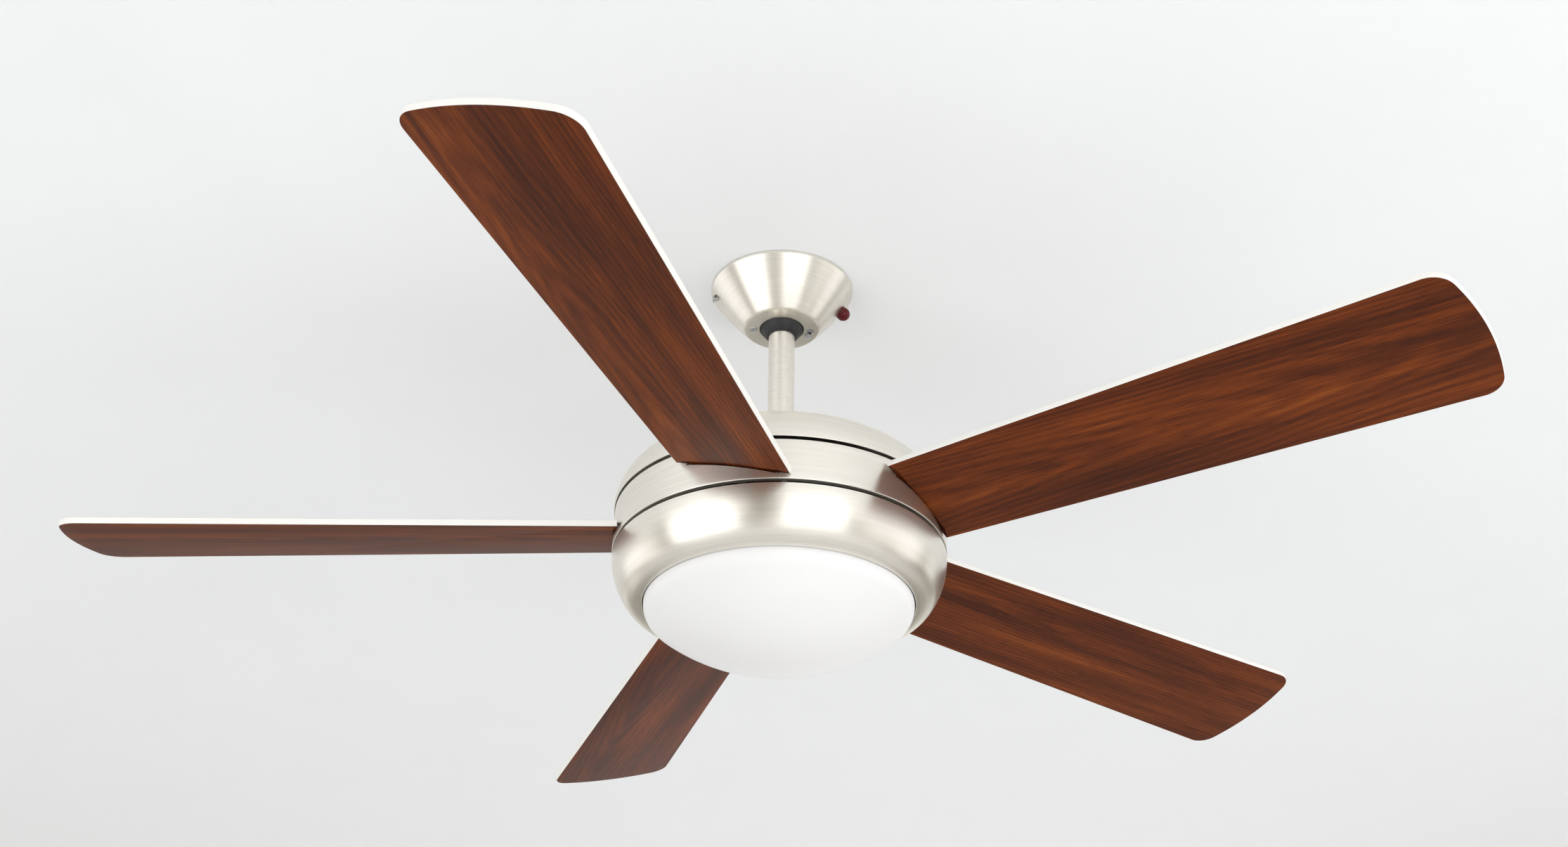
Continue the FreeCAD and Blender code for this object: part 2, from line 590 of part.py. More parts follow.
# ---------------------------------------------------------------- downrod, coupling, top housing
def make_downrod():
    """Steel tube, drilled for the two cross pins and the ball's set screw."""
    pipe = tube("rod_radius", "rod_radius - rod_wall", f"{ROD_TOP} - ({ROD_FOOT})", height=ROD_FOOT)
    tools = [
        aim(rod("pin_radius + slip", "rod_radius * 4", x="-rod_radius * 2", y="0", height=height), (1, 0, 0))
        for height in ("-ball_drop", f"{DOME_TOP} + 14")
    ]
    return cut_all(pipe, tools, "downrod")


def make_coupling():
    """Cast coupling: a cup for the rod, a flange for the top housing and a boss for the shaft."""
    body = turned(
        "coupling body",
        [
            ("rod_radius + slip", COUPLING_TOP),
            ("coupling_radius", COUPLING_TOP),
            ("coupling_radius", DOME_UNDER),
            ("coupling_flange", DOME_UNDER),
            ("coupling_flange", FLANGE_FOOT),
            ("coupling_radius - 4", FLANGE_FOOT),
            ("coupling_radius - 4", BOSS_FOOT),
            ("shaft_radius + slip", BOSS_FOOT),
            ("shaft_radius + slip", f"{ROD_FOOT} - 1"),
            ("rod_radius + slip", f"{ROD_FOOT} - 1"),
        ],
    )
    tools = [aim(rod("pin_radius + slip", "coupling_radius * 4", x="-coupling_radius * 2", y="0",
                     height=f"{DOME_TOP} + 14"), (1, 0, 0))]
    tools.append(aim(rod("shaft_pin_radius + slip", "coupling_radius * 4", x="-coupling_radius * 2", y="0",
                         height=f"{BOSS_FOOT} + 4"), (1, 0, 0)))
    tools += around("2", lambda turn: aim(
        rod("2.5 + slip", "coupling_radius * 2", x="0", y="0", height=f"{DOME_TOP} + 22"),
        (math.cos(math.radians(number(turn))), math.sin(math.radians(number(turn))), 0)), "90")
    tools += around("4", lambda turn: rod("1.9 + slip", "flange_thick * 3", radius="housing_screw_circle",
                                          azimuth=turn, height=f"{FLANGE_FOOT} - flange_thick"), "45")
    cut_all(body, tools, "motor_coupling")
    pin = aim(rod("pin_radius", "coupling_radius * 2 + 6", x="-coupling_radius - 3", y="0",
                  height=f"{DOME_TOP} + 14"), (1, 0, 0))
    clip_way = rod("0.9", "pin_radius * 4", x="coupling_radius + 1.5", y="0", height=f"{DOME_TOP} + 14 - pin_radius * 2")
    cut(pin, clip_way, "coupling_pin")
    clip = rod("0.85", "pin_radius * 2 + 4", x="coupling_radius + 1.5", y="0", height=f"{DOME_TOP} + 12 - pin_radius")
    clip.Label = "coupling_clip"
    grubs = around("2", lambda turn: aim(
        rod("2.5", "7.5", radius="rod_radius + 0.1", azimuth=turn, height=f"{DOME_TOP} + 22"),
        (math.cos(math.radians(number(turn))), math.sin(math.radians(number(turn))), 0)), "90")
    grubs.append(aim(rod("2.5", "7.5", x="0", y="-rod_radius - 0.1", height="-ball_drop + 4"), (0, -1, 0)))
    group(grubs, "set_screws")
    lock = aim(rod("shaft_pin_radius", "(coupling_radius - 4.5) * 2", x="-coupling_radius + 4.5", y="0",
                   height=f"{BOSS_FOOT} + 4"), (1, 0, 0))
    lock.Label = "shaft_pin"


def make_top_housing():
    """Spun steel dome with a round shoulder and a flat middle, and the bell that covers the coupling."""
    shoulder = "(housing_radius + 0.5 - dome_shoulder)"
    shell = turned(
        "dome shell",
        [
            ("coupling_radius + 0.5", DOME_TOP),
            ("coupling_radius + 0.5", DOME_UNDER),
            ("dome_flat", DOME_UNDER),
            (shoulder, f"{DOME_UNDER} - dome_rise"),
            ("housing_radius + 0.5 - wall", DOME_SIDE),
            ("housing_radius + 0.5 - wall", DOME_FOOT),
            ("housing_radius + 0.5", DOME_FOOT),
            ("housing_radius + 0.5", DOME_SIDE),
            (shoulder, f"{DOME_TOP} - dome_rise"),
            ("dome_flat", DOME_TOP),
        ],
        {3: ("dome_shoulder - wall", -1), 7: ("dome_shoulder", 1)},
    )
    holes = around("4", lambda turn: rod("1.9 + slip", "wall * 6", radius="housing_screw_circle", azimuth=turn,
                                         height=f"{DOME_TOP} - wall * 3"), "45")
    cut_all(shell, holes, "top_housing")
    screws = around("4", lambda turn: screw("1.9", "wall + flange_thick - 0.5", "3.6", "2", DOWN,
                                            radius="housing_screw_circle", azimuth=turn, height=DOME_TOP), "45")
    group(screws, "top_housing_screws")
    turned(
        "coupling_cover",
        [
            ("rod_radius + seat_gap", f"{DOME_TOP} + cover_height"),
            ("rod_radius + seat_gap", f"{DOME_TOP} + cover_height - wall"),
            ("rod_radius + 4", f"{DOME_TOP} + cover_height - wall"),
            ("cover_radius - wall", f"{DOME_TOP} + cover_height - 14"),
            ("cover_radius - wall", DOME_TOP),
            ("cover_radius", DOME_TOP),
            ("cover_radius", f"{DOME_TOP} + cover_height - 14"),
            ("rod_radius + 4", f"{DOME_TOP} + cover_height"),
        ],
        {2: ("18 - wall", -1), 6: ("18", 1)},
    )


# ---------------------------------------------------------------- motor
def make_motor():
    """Outer-rotor motor: a still shaft, core and windings inside a turning ring and two cast shells."""
    shaft_top = f"({ROD_FOOT} - 1)"
    shaft = tube("shaft_radius", "shaft_bore", f"{shaft_top} - ({SHAFT_FOOT})", height=SHAFT_FOOT)
    pin_way = aim(rod("shaft_pin_radius + slip", "shaft_radius * 4", x="-shaft_radius * 2", y="0",
                      height=f"{BOSS_FOOT} + 4"), (1, 0, 0))
    cut(shaft, pin_way, "motor_shaft")
    core = tube("stator_radius", "shaft_radius + slip", "core_half * 2", height=f"{MOTOR_MIDDLE} - core_half")
    slots = around("slot_count", lambda turn: rod("3.6", "core_half * 4", radius="winding_outer - 8", azimuth=turn,
                                                  height=f"{MOTOR_MIDDLE} - core_half * 2"))
    cut_all(core, slots, "stator_core")
    coils = [
        tube("winding_outer", "winding_inner", "winding_end - 0.2", height=f"{MOTOR_MIDDLE} {side}")
        for side in ("+ core_half + 0.2", "- core_half - winding_end")
    ]
    group(coils, "stator_windings")
    tube("rotor_radius", "stator_radius + air_gap", "core_half * 2 + 2", height=f"{MOTOR_MIDDLE} - core_half - 1",
         label="rotor_ring")
    make_shell("rotor_upper_shell", "+", "shell_up")
    make_shell("rotor_lower_shell", "-", "shell_down")
    shell_screws = around("blade_count", lambda turn: screw(
        "1.9", "shell_flange_thick * 2 - 0.2", "3.2", "1.2", DOWN, radius="shell_flange - 5", azimuth=turn,
        height=CARRIER_FOOT), f"first_azimuth + {BLADE_STEP} / 2 + 12")
    group(shell_screws, "shell_screws")
    make_bearings()


def shell_screw_ways():
    """Holes for the screws that hold the two shells together."""
    return around("blade_count", lambda turn: rod("1.9 + slip", "shell_flange_thick * 6", radius="shell_flange - 5",
                                                  azimuth=turn, height=f"{MOTOR_MIDDLE} - shell_flange_thick * 3"),
                  f"first_azimuth + {BLADE_STEP} / 2 + 12")


def make_shell(label, sign, reach):
    """Cast end shell with a flange, a domed end and a hub for the bearing."""
    end = f"({MOTOR_MIDDLE} {sign} {reach})"
    under = f"({end} - ({sign}1) * shell_wall)"
    hub = f"({under} - ({sign}1) * bearing_width)"
    flange = f"({MOTOR_MIDDLE} {sign} shell_flange_thick)"
    shoulder = f"({end} - ({sign}1) * 8)"
    corners = [
        ("shaft_radius + 3", end),
        ("rotor_radius - 4", end),
        ("rotor_radius + shell_wall + 0.2", shoulder),
        ("rotor_radius + shell_wall + 0.2", flange),
        ("shell_flange", flange),
        ("shell_flange", MOTOR_MIDDLE),
        ("rotor_radius", MOTOR_MIDDLE),
        ("rotor_radius", f"({shoulder} - ({sign}1) * 0.5)"),
        ("rotor_radius - 5.5", under),
        ("bearing_outer + 3", under),
        ("bearing_outer + 3", hub),
        ("bearing_outer + slip", hub),
        ("bearing_outer + slip", under),
        ("shaft_radius + 3", under),
    ]
    shell = turned(label + " blank", corners)
    tools = shell_screw_ways() + carrier_screw_ways() if sign == "+" else shell_screw_ways() + arm_screw_ways()
    cut_all(shell, tools, label)


def make_bearings():
    """Two ball bearings: inner races on the shaft, outer races in the shells, balls between."""
    inner, outer, balls = [], [], []
    middle = "((shaft_radius + bearing_outer) / 2)"
    for height in (f"({SHELL_TOP} - shell_wall - bearing_width / 2)", f"({SHELL_FOOT} + shell_wall + bearing_width / 2)"):
        foot = f"{height} - bearing_width / 2"
        groove = []
        for turn in range(2):
            ring = bind(doc.addObject("Part::Torus", "groove"), Radius1=middle, Radius2="bearing_ball + race_gap")
            groove.append(at(ring, height=height))
        small = tube(f"{middle} - 1", "shaft_radius + slip", "bearing_width", height=foot)
        large = tube("bearing_outer", f"{middle} + 1", "bearing_width", height=foot)
        inner.append(cut(small, groove[0]))
        outer.append(cut(large, groove[1]))
        for azimuth in around("bearing_balls_each", lambda turn: turn):
            ball = bind(doc.addObject("Part::Sphere", "ball"), Radius="bearing_ball")
            balls.append(at(ball, radius=middle, azimuth=azimuth, height=height))
    group(inner, "bearing_inner_races")
    group(outer, "bearing_outer_races")
    group(balls, "bearing_balls")


# ---------------------------------------------------------------- band, arms, blades
def carrier_screw_ways():
    """Holes for the screws that hold the spoked plate to the upper shell."""
    return around("blade_count", lambda turn: rod("1.9 + slip", "shell_flange_thick * 3", radius="shell_flange - 8",
                                                  azimuth=turn, height=f"{CARRIER_FOOT} - shell_flange_thick - 1"),
                  f"first_azimuth + {BLADE_STEP} / 2")


def arm_screw_places():
    """Azimuth of each arm with the two sides of its screws, as pairs of x and y."""
    places = []
    for turn in range(int(number("blade_count"))):
        azimuth = f"(first_azimuth + {turn} * {BLADE_STEP})"
        for side in ("-arm_screw_side", "arm_screw_side"):
            across = f"arm_screw_circle * cos({azimuth}) - ({side}) * sin({azimuth})"
            along = f"arm_screw_circle * sin({azimuth}) + ({side}) * cos({azimuth})"
            places.append((across, along))
    return places


def arm_screw_ways():
    """Threaded holes for the arm screws in the lower shell's flange."""
    return [rod("1.9 + slip", "shell_flange_thick * 3", x=x, y=y, height=f"{ARM_TOP} - shell_flange_thick")
            for x, y in arm_screw_places()]


def make_band():
    """Turning band: a slightly flared ring with a top flange, a foot lip and a pitched slot for each blade."""
    top, foot = BAND_RADIUS, f"({BAND_RADIUS} + band_taper)"
    shell = turned(
        "band shell",
        [
            (f"{top} - band_flange", BAND_TOP),
            (f"{top} - band_flange", f"{BAND_TOP} - wall"),
            (f"{top} - wall", f"{BAND_TOP} - wall"),
            (f"{foot} - wall", f"{BAND_FOOT} + wall"),
            (f"{foot} - band_lip", f"{BAND_FOOT} + wall"),
            (f"{foot} - band_lip", BAND_FOOT),
            (foot, BAND_FOOT),
            (top, BAND_TOP),
        ],
    )
    slots = []
    for turn in range(int(number("blade_count"))):
        slot = bind(doc.addObject("Part::Box", "slot"), Length="40", Width="(tongue_half + blade_slot_side) * 2",
                    Height="blade_thick + blade_slot_over * 2")
        slots.append(in_blade(slot, turn, "housing_radius - 30", "blade_offset - tongue_half - blade_slot_side",
                              "-blade_slot_over"))
    ways = around("blade_count", lambda turn: rod("1.6 + slip", "wall * 6", radius=f"{top} - band_flange / 2",
                                                  azimuth=turn, height=f"{BAND_TOP} - wall * 3"),
                  f"first_azimuth + {BLADE_STEP} / 2")
    cut_all(shell, slots + ways, "middle_band")

    ring = tube("shell_flange", "carrier_inner", "carrier_thick", height=CARRIER_FOOT)
    spokes = []
    for turn in range(int(number("blade_count"))):
        reach = f"({top} - wall - 1)"
        spoke = bind(doc.addObject("Part::Box", "spoke"), Length=f"{reach} - shell_flange + 3", Width="spoke_half * 2",
                     Height="carrier_thick")
        azimuth = number(f"first_azimuth + {BLADE_STEP} / 2 + {turn} * {BLADE_STEP}")
        turn_about = FreeCAD.Rotation(FreeCAD.Vector(0, 0, 1), azimuth)
        start = FreeCAD.Vector(number("shell_flange - 3"), -number("spoke_half"), number(CARRIER_FOOT))
        spoke.Placement = FreeCAD.Placement(turn_about.multVec(start), turn_about)
        spokes.append(spoke)
    plate = joined([ring] + spokes)
    tools = around("blade_count", lambda turn: rod("1.6 + slip", "wall * 6", radius=f"{top} - band_flange / 2",
                                                   azimuth=turn, height=f"{BAND_TOP} - wall * 5"),
                   f"first_azimuth + {BLADE_STEP} / 2")
    tools += around("blade_count", lambda turn: rod("1.9 + slip", "wall * 6", radius="shell_flange - 8",
                                                    azimuth=turn, height=f"{CARRIER_FOOT} - wall * 3"),
                    f"first_azimuth + {BLADE_STEP} / 2")
    tools += around("blade_count", lambda turn: rod("3.5", "wall * 6", radius="shell_flange - 5",
                                                    azimuth=turn, height=f"{CARRIER_FOOT} - wall * 3"),
                    f"first_azimuth + {BLADE_STEP} / 2 + 12")
    cut_all(plate, tools, "band_carrier")
    screws = around("blade_count", lambda turn: screw("1.6", "wall + carrier_thick - 0.2", "2.8", "1.6", UP,
                                                      radius=f"{top} - band_flange / 2", azimuth=turn,
                                                      height=CARRIER_FOOT),
                    f"first_azimuth + {BLADE_STEP} / 2")
    screws += around("blade_count", lambda turn: screw("1.9", "shell_flange_thick + carrier_thick - 0.2", "3.4", "2",
                                                       DOWN, radius="shell_flange - 8", azimuth=turn,
                                                       height=f"{CARRIER_FOOT} + carrier_thick"),
                     f"first_azimuth + {BLADE_STEP} / 2")
    group(screws, "band_screws")


BLADE_SCREWS = [("8", "0"), ("28", "-20"), ("28", "20")]


def blade_screw_way(turn, radius, along, across, start, length):
    """A cylinder through the tongue and the arm's pad, square to the blade."""
    way = bind(doc.addObject("Part::Cylinder", "way"), Radius=radius, Height=length)
    return in_blade(way, turn, f"arm_pad_start + {along}", f"blade_offset + {across}", start)


def make_blade(turn):
    """Flat board: a tongue, shoulders that follow the band, straight sides and a rounded tip."""
    shoulder = "(housing_radius + root_gap)"
    low, high = "(blade_offset + tongue_half)", "(blade_offset - tongue_half)"
    low_edge = f"(blade_offset + blade_root_half + blade_growth * {shoulder})"
    high_edge = f"(blade_offset - blade_root_half - blade_growth * {shoulder})"
    reach = "(blade_sweep / 2)"
    tip_x = f"({reach} - 10.6)"
    low_tip = f"(blade_offset + blade_root_half + blade_growth * {tip_x})"
    high_tip = f"(blade_offset - blade_root_half - blade_growth * {tip_x})"

    def on_shoulder(y):
        return (f"sqrt({shoulder} * {shoulder} - {y} * {y})", y)

    board = padded(
        "board",
        [
            ("tongue_end", high),
            on_shoulder(high),
            on_shoulder(high_edge),
            (tip_x, high_tip),
            (tip_x, low_tip),
            on_shoulder(low_edge),
            on_shoulder(low),
            ("tongue_end", low),
        ],
        {1: (shoulder, 1), 3: ("tip_arc", 1), 5: (shoulder, 1)},
        "blade_thick",
    )
    doc.recompute()
    pad = board.Tip
    corners = []
    for place, edge in enumerate(pad.Shape.Edges, start=1):
        ends = [vertex.Point for vertex in edge.Vertexes]
        upright = len(ends) == 2 and abs(ends[0].x - ends[1].x) < 0.01 and abs(ends[0].z - ends[1].z) > 1
        if upright and ends[0].x > number(tip_x) - 1:
            corners.append(f"Edge{place}")
    rounded = board.newObject("PartDesign::Fillet", "tip_corners")
    rounded.Base = (pad, corners)
    bind(rounded, Radius="tip_corner")
    board.Placement = blade_place(turn)
    ways = [blade_screw_way(turn, "2.1 + slip", along, across, "-5", "blade_thick + 10")
            for along, across in BLADE_SCREWS]
    return cut_all(board, ways, f"blade_{turn + 1}")


def make_arm(turn):
    """Pressed arm: a level foot under the rotor's flange, a twist, and a pad on the blade's tongue."""
    azimuth = number(f"first_azimuth + {turn} * {BLADE_STEP}")
    level = FreeCAD.Placement(FreeCAD.Vector(0, 0, number(ARM_TOP)), FreeCAD.Rotation(FreeCAD.Vector(0, 0, 1), azimuth))
    tilted = blade_place(turn)
    thick = number("arm_thick")

    def section(frame, along, half, middle, foot):
        corners = [(along, middle + side * half, foot + rise)
                   for side, rise in ((-1, 0), (1, 0), (1, thick), (-1, thick))]
        points = [frame.multVec(FreeCAD.Vector(*corner)) for corner in corners]
        return Part.makePolygon(points + points[:1])

    foot_start = number("rotor_radius + shell_wall + 0.2 + arm_gap")
    foot_near = section(level, foot_start, number("arm_foot_half"), 0, -thick)
    foot_far = section(level, number("arm_foot_end"), number("arm_foot_half"), 0, -thick)
    rise = number("blade_thick")
    offset = number("blade_offset")
    pad_near = section(tilted, number("arm_pad_start"), number("arm_pad_half"), offset, rise)
    pad_far = section(tilted, number("arm_pad_end"), number("arm_pad_half"), offset, rise)
    pieces = [
        Part.makeLoft([near, far], True, True)
        for near, far in ((foot_near, foot_far), (foot_far, pad_near), (pad_near, pad_far))
    ]
    shape = pieces[0].fuse(pieces[1:])
    arm = doc.addObject("Part::Feature", "arm")
    arm.Shape = shape
    ways = [blade_screw_way(turn, "1.9 + slip", along, across, "-5", "blade_thick + 20")
            for along, across in BLADE_SCREWS]
    ways += [rod("1.9 + slip", "arm_thick * 3", x=x, y=y, height=f"{ARM_TOP} - arm_thick * 2")
             for x, y in arm_screw_places()[turn * 2:turn * 2 + 2]]
    return cut_all(arm, ways, f"blade_arm_{turn + 1}")


def make_blades():
    """The blades, their arms and the screws of both."""
    board_screws = []
    for turn in range(int(number("blade_count"))):
        make_arm(turn)
        make_blade(turn)
        for along, across in BLADE_SCREWS:
            whole = joined([rod("1.9", "blade_thick + arm_thick - 0.2"), rod("4", "2", height="-2")])
            board_screws.append(in_blade(whole, turn, f"arm_pad_start + {along}", f"blade_offset + {across}"))
    group(board_screws, "blade_screws")
    arm_screws = [screw("1.9", "arm_thick + shell_flange_thick - 0.2", "3.8", "2", UP, x=x, y=y,
                        height=f"{ARM_TOP} - arm_thick") for x, y in arm_screw_places()]
    group(arm_screws, "arm_screws")


# ---------------------------------------------------------------- light kit
def make_bowl():
    """Spun bowl in two arcs, with a top flange that is screwed to the kit plate."""
    small_x, small_z = f"(bowl_mouth)", f"({BOWL_FOOT} + {BOWL_SMALL})"
    outer = (f"{small_x} + {BOWL_SMALL} * cos(bowl_turn)", f"{small_z} - {BOWL_SMALL} * sin(bowl_turn)")
    inner = (f"{small_x} + ({BOWL_SMALL} - wall) * cos(bowl_turn)",
             f"{small_z} - ({BOWL_SMALL} - wall) * sin(bowl_turn)")
    shell = turned(
        "bowl shell",
        [
            ("bowl_flange", BOWL_TOP),
            ("bowl_flange", f"{BOWL_TOP} - wall"),
            ("housing_radius - wall", f"{BOWL_TOP} - wall"),
            inner,
            ("bowl_mouth", f"{BOWL_FOOT} + wall"),
            ("bowl_mouth", BOWL_FOOT),
            outer,
            ("housing_radius", BOWL_TOP),
        ],
        {
            2: (f"{BOWL_BIG} - wall", -1),
            3: (f"{BOWL_SMALL} - wall", -1),
            5: (BOWL_SMALL, 1),
            6: (BOWL_BIG, 1),
        },
    )
    ways = around("3", lambda turn: rod("1.9 + slip", "wall * 6", radius="bowl_screw_circle", azimuth=turn,
                                        height=f"{BOWL_TOP} - wall * 3"), "90")
    cut_all(shell, ways, "lower_bowl")
    screws = around("3", lambda turn: screw("1.9", "wall + kit_plate_thick + 1", "3.6", "2", UP,
                                            radius="bowl_screw_circle", azimuth=turn, height=f"{BOWL_TOP} - wall"),
                    "90")
    group(screws, "bowl_screws")


def make_kit_plate():
    """Round steel plate on the shaft's foot, with a nut above and below and three posts for the pan."""
    disc = tube("kit_plate", "shaft_radius + slip", "kit_plate_thick", height=BOWL_TOP)
    ways = around("3", lambda turn: rod("1.9 + slip", "wall * 6", radius="bowl_screw_circle", azimuth=turn,
                                        height=f"{BOWL_TOP} - wall * 3"), "90")
    ways += around("3", lambda turn: rod("1.9 + slip", "wall * 6", radius="pan_screw_circle", azimuth=turn,
                                         height=f"{BOWL_TOP} - wall * 3"), "30")
    cut_all(disc, ways, "light_kit_plate")
    nuts = []
    for foot in (PLATE_TOP, f"{BOWL_TOP} - nut_thick"):
        hexagon = bind(doc.addObject("Part::Prism", "nut"), Circumradius="nut_radius",
                       Height="nut_thick" if foot != PLATE_TOP else "nut_thick - 2")
        hexagon.Polygon = 6
        nuts.append(cut(at(hexagon, height=foot), rod("shaft_radius + slip", "nut_thick * 3",
                                                      height=f"{foot} - nut_thick")))
    group(nuts, "shaft_nuts")
    posts = around("3", lambda turn: tube("post_radius", "1.9 + slip", "pan_drop", radius="pan_screw_circle",
                                          azimuth=turn, height=PAN_TOP), "30")
    group(posts, "pan_posts")
    case = block("46", "24", "14", x="24", y="-62", height=f"{BOWL_TOP} - 14")
    case.Label = "run_capacitor"


def make_pan():
    """White pan that carries the sockets, with a skirt and three pins for the shade."""
    inner = "(pan_radius - wall)"
    shell = turned(
        "pan shell",
        [
            ("14", PAN_TOP),
            ("14", f"{PAN_TOP} - wall"),
            (inner, f"{PAN_TOP} - wall"),
            (inner, PAN_FOOT),
            ("pan_radius", PAN_FOOT),
            ("pan_radius", PAN_TOP),
        ],
    )
    pins = []
    for turn in around("3", lambda turn: turn, "90"):
        angle = math.radians(number(turn))
        pin = rod("pan_pin_radius", "pan_pin_reach + wall / 2", radius="pan_radius - wall / 2", azimuth=turn,
                  height=PIN_HEIGHT)
        pins.append(aim(pin, (math.cos(angle), math.sin(angle), 0)))
    ways = around("3", lambda turn: rod("1.9 + slip", "wall * 6", radius="pan_screw_circle", azimuth=turn,
                                        height=f"{PAN_TOP} - wall * 3"), "30")
    cut_all(joined([shell] + pins), ways, "lamp_pan")
    screws = around("3", lambda turn: screw("1.9", "wall + pan_drop + kit_plate_thick - 0.2", "3.6", "2", UP,
                                            radius="pan_screw_circle", azimuth=turn, height=f"{PAN_TOP} - wall"),
                    "30")
    group(screws, "lamp_pan_screws")

    sockets, bulbs = [], []
    for side in (1, -1):
        back = f"{-side} * socket_far"
        beside = f"{side} * socket_side"
        cup = aim(rod("socket_radius", "socket_long", x=back, y=beside, height=LAMP_HEIGHT), (side, 0, 0))
        bore = aim(rod("bulb_neck + 1", "socket_long", x=f"{back} + {side} * 6", y=beside, height=LAMP_HEIGHT),
                   (side, 0, 0))
        foot_x = f"{back} + {8 if side > 0 else -22}"
        foot = block("14", "10", f"{PAN_TOP} - wall - ({LAMP_HEIGHT}) - bulb_neck - 2", x=foot_x, y=f"{beside} - 5",
                     height=f"{LAMP_HEIGHT} + bulb_neck + 2")
        sockets.append(cut(joined([cup, foot]), bore))
        neck = rod("bulb_neck", "socket_long - 8")
        cone = at(bind(doc.addObject("Part::Cone", "shoulder"), Radius1="bulb_neck", Radius2="bulb_radius * 0.94",
                       Height="bulb_long - bulb_radius * 1.34"), height="socket_long - 8")
        globe = at(bind(doc.addObject("Part::Sphere", "globe"), Radius="bulb_radius"),
                   height="socket_long - 8 + bulb_long - bulb_radius")
        whole = at(joined([neck, cone, globe]), x=f"{back} + {side} * 7", y=beside, height=LAMP_HEIGHT)
        bulbs.append(aim(whole, (side, 0, 0)))
    group(sockets, "lamp_sockets")
    group(bulbs, "bulbs")


def make_shade():
    """Opal glass bowl with an upright rim, its metal collar with three lugs, and a gasket."""
    radius, inside = GLASS_RADIUS, f"({GLASS_RADIUS} - glass_wall)"
    shoulder = f"({BOWL_FOOT} - glass_below)"
    half, depth = "({} - shade_turn * 0.386)", f"(({shoulder}) - shade_turn * 0.786 - ({GLASS_FOOT}))"
    reach = half.format(radius)
    sphere = f"(({reach} * {reach} + {depth} * {depth}) / (2 * {depth}))"
    inner_reach = f"({reach} - glass_wall * 0.617)"
    inner_foot = f"({GLASS_FOOT} + glass_wall)"
    inner_level = f"({shoulder} - shade_turn * 0.786 + glass_wall * 0.787)"
    inner_depth = f"({inner_level} - {inner_foot})"
    inner_sphere = f"(({inner_reach} * {inner_reach} + {inner_depth} * {inner_depth}) / (2 * {inner_depth}))"
    turned(
        "glass_shade",
        [
            (inside, GLASS_TOP),
            (inside, shoulder),
            (inner_reach, inner_level),
            ("0", inner_foot),
            ("0", GLASS_FOOT),
            (reach, f"{shoulder} - shade_turn * 0.786"),
            (radius, shoulder),
            (radius, GLASS_TOP),
        ],
        {
            1: ("shade_turn - glass_wall", -1),
            2: (inner_sphere, -1),
            4: (sphere, 1),
            5: ("shade_turn", 1),
        },
    )
    collar_top = f"({PIN_HEIGHT} + pan_pin_radius + seat_gap + lug_thick)"
    ring = tube(inside, "collar_inner", "collar_height", height=f"{collar_top} - collar_height")
    lugs = []
    for turn in around("3", lambda turn: turn, "90 - lug_span / 2"):
        band = bind(doc.addObject("Part::Cylinder", "lug"), Radius="collar_inner + 1",
                    Height="lug_thick", Angle="lug_span")
        hollow = rod("collar_inner - lug_reach", "lug_thick * 3", height="-lug_thick")
        lug = at(cut(band, hollow), height=f"{collar_top} - lug_thick")
        lug.Placement.Rotation = FreeCAD.Rotation(FreeCAD.Vector(0, 0, 1), number(turn))
        lugs.append(lug)
    joined([ring] + lugs, "shade_collar")
    tube(radius, inside, "gasket_thick", height=GLASS_TOP, label="shade_gasket")


make_canopy()
make_lens()
make_bracket()
make_seat()
make_ball()
make_hanger_small_parts()
make_downrod()
make_coupling()
make_top_housing()
make_motor()
make_band()
make_blades()
make_bowl()
make_kit_plate()
make_pan()
make_shade()
doc.recompute()

NODES = [
    "hanger_bracket", "ball_seat", "canopy", "canopy_ring_screws", "canopy_side_screw", "receiver_box",
    "receiver_lens", "earth_screw", "ball_key_pin", "hanger_ball", "ball_cross_pin", "downrod",
    "fan_leads", "lead_plug", "motor_coupling", "coupling_pin", "coupling_clip", "set_screws", "shaft_pin",
    "coupling_cover", "top_housing", "top_housing_screws", "motor_shaft", "shaft_nuts", "stator_core",
    "stator_windings", "bearing_inner_races", "light_kit_plate", "lower_bowl", "bowl_screws", "pan_posts",
    "lamp_pan", "lamp_pan_screws", "lamp_sockets", "bulbs", "run_capacitor", "rotor_ring", "rotor_upper_shell",
    "rotor_lower_shell", "shell_screws", "bearing_outer_races", "bearing_balls", "band_carrier", "middle_band",
    "band_screws", "arm_screws", "blade_screws", "glass_shade", "shade_collar", "shade_gasket",
]
NODES += [f"{kind}_{turn + 1}" for kind in ("blade_arm", "blade") for turn in range(int(number("blade_count")))]

broken = [thing.Label for thing in doc.Objects if {"Invalid", "Error"} & set(thing.State)]
if broken:
    raise RuntimeError(f"failed to build: {broken}")

os.makedirs("parts", exist_ok=True)
for node in NODES:
    found = doc.getObjectsByLabel(node)
    if len(found) != 1:
        raise RuntimeError(f"{node}: {len(found)} objects have this label")
    shape = found[0].Shape
    if shape.isNull() or not shape.isValid() or not shape.Solids:
        raise RuntimeError(f"{node}: its shape is empty or invalid")
    print(f"{node}: {len(shape.Solids)} solids, {shape.Volume / 1000:.2f} cm3")
    shape.exportStep(f"parts/{node}.step")
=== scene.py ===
"""Looks of a five-blade ceiling fan with an opal light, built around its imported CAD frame."""

import json
import math

import bpy
import numpy as np
from bpy.props import FloatProperty, IntProperty, PointerProperty
from mathutils import Matrix, Vector


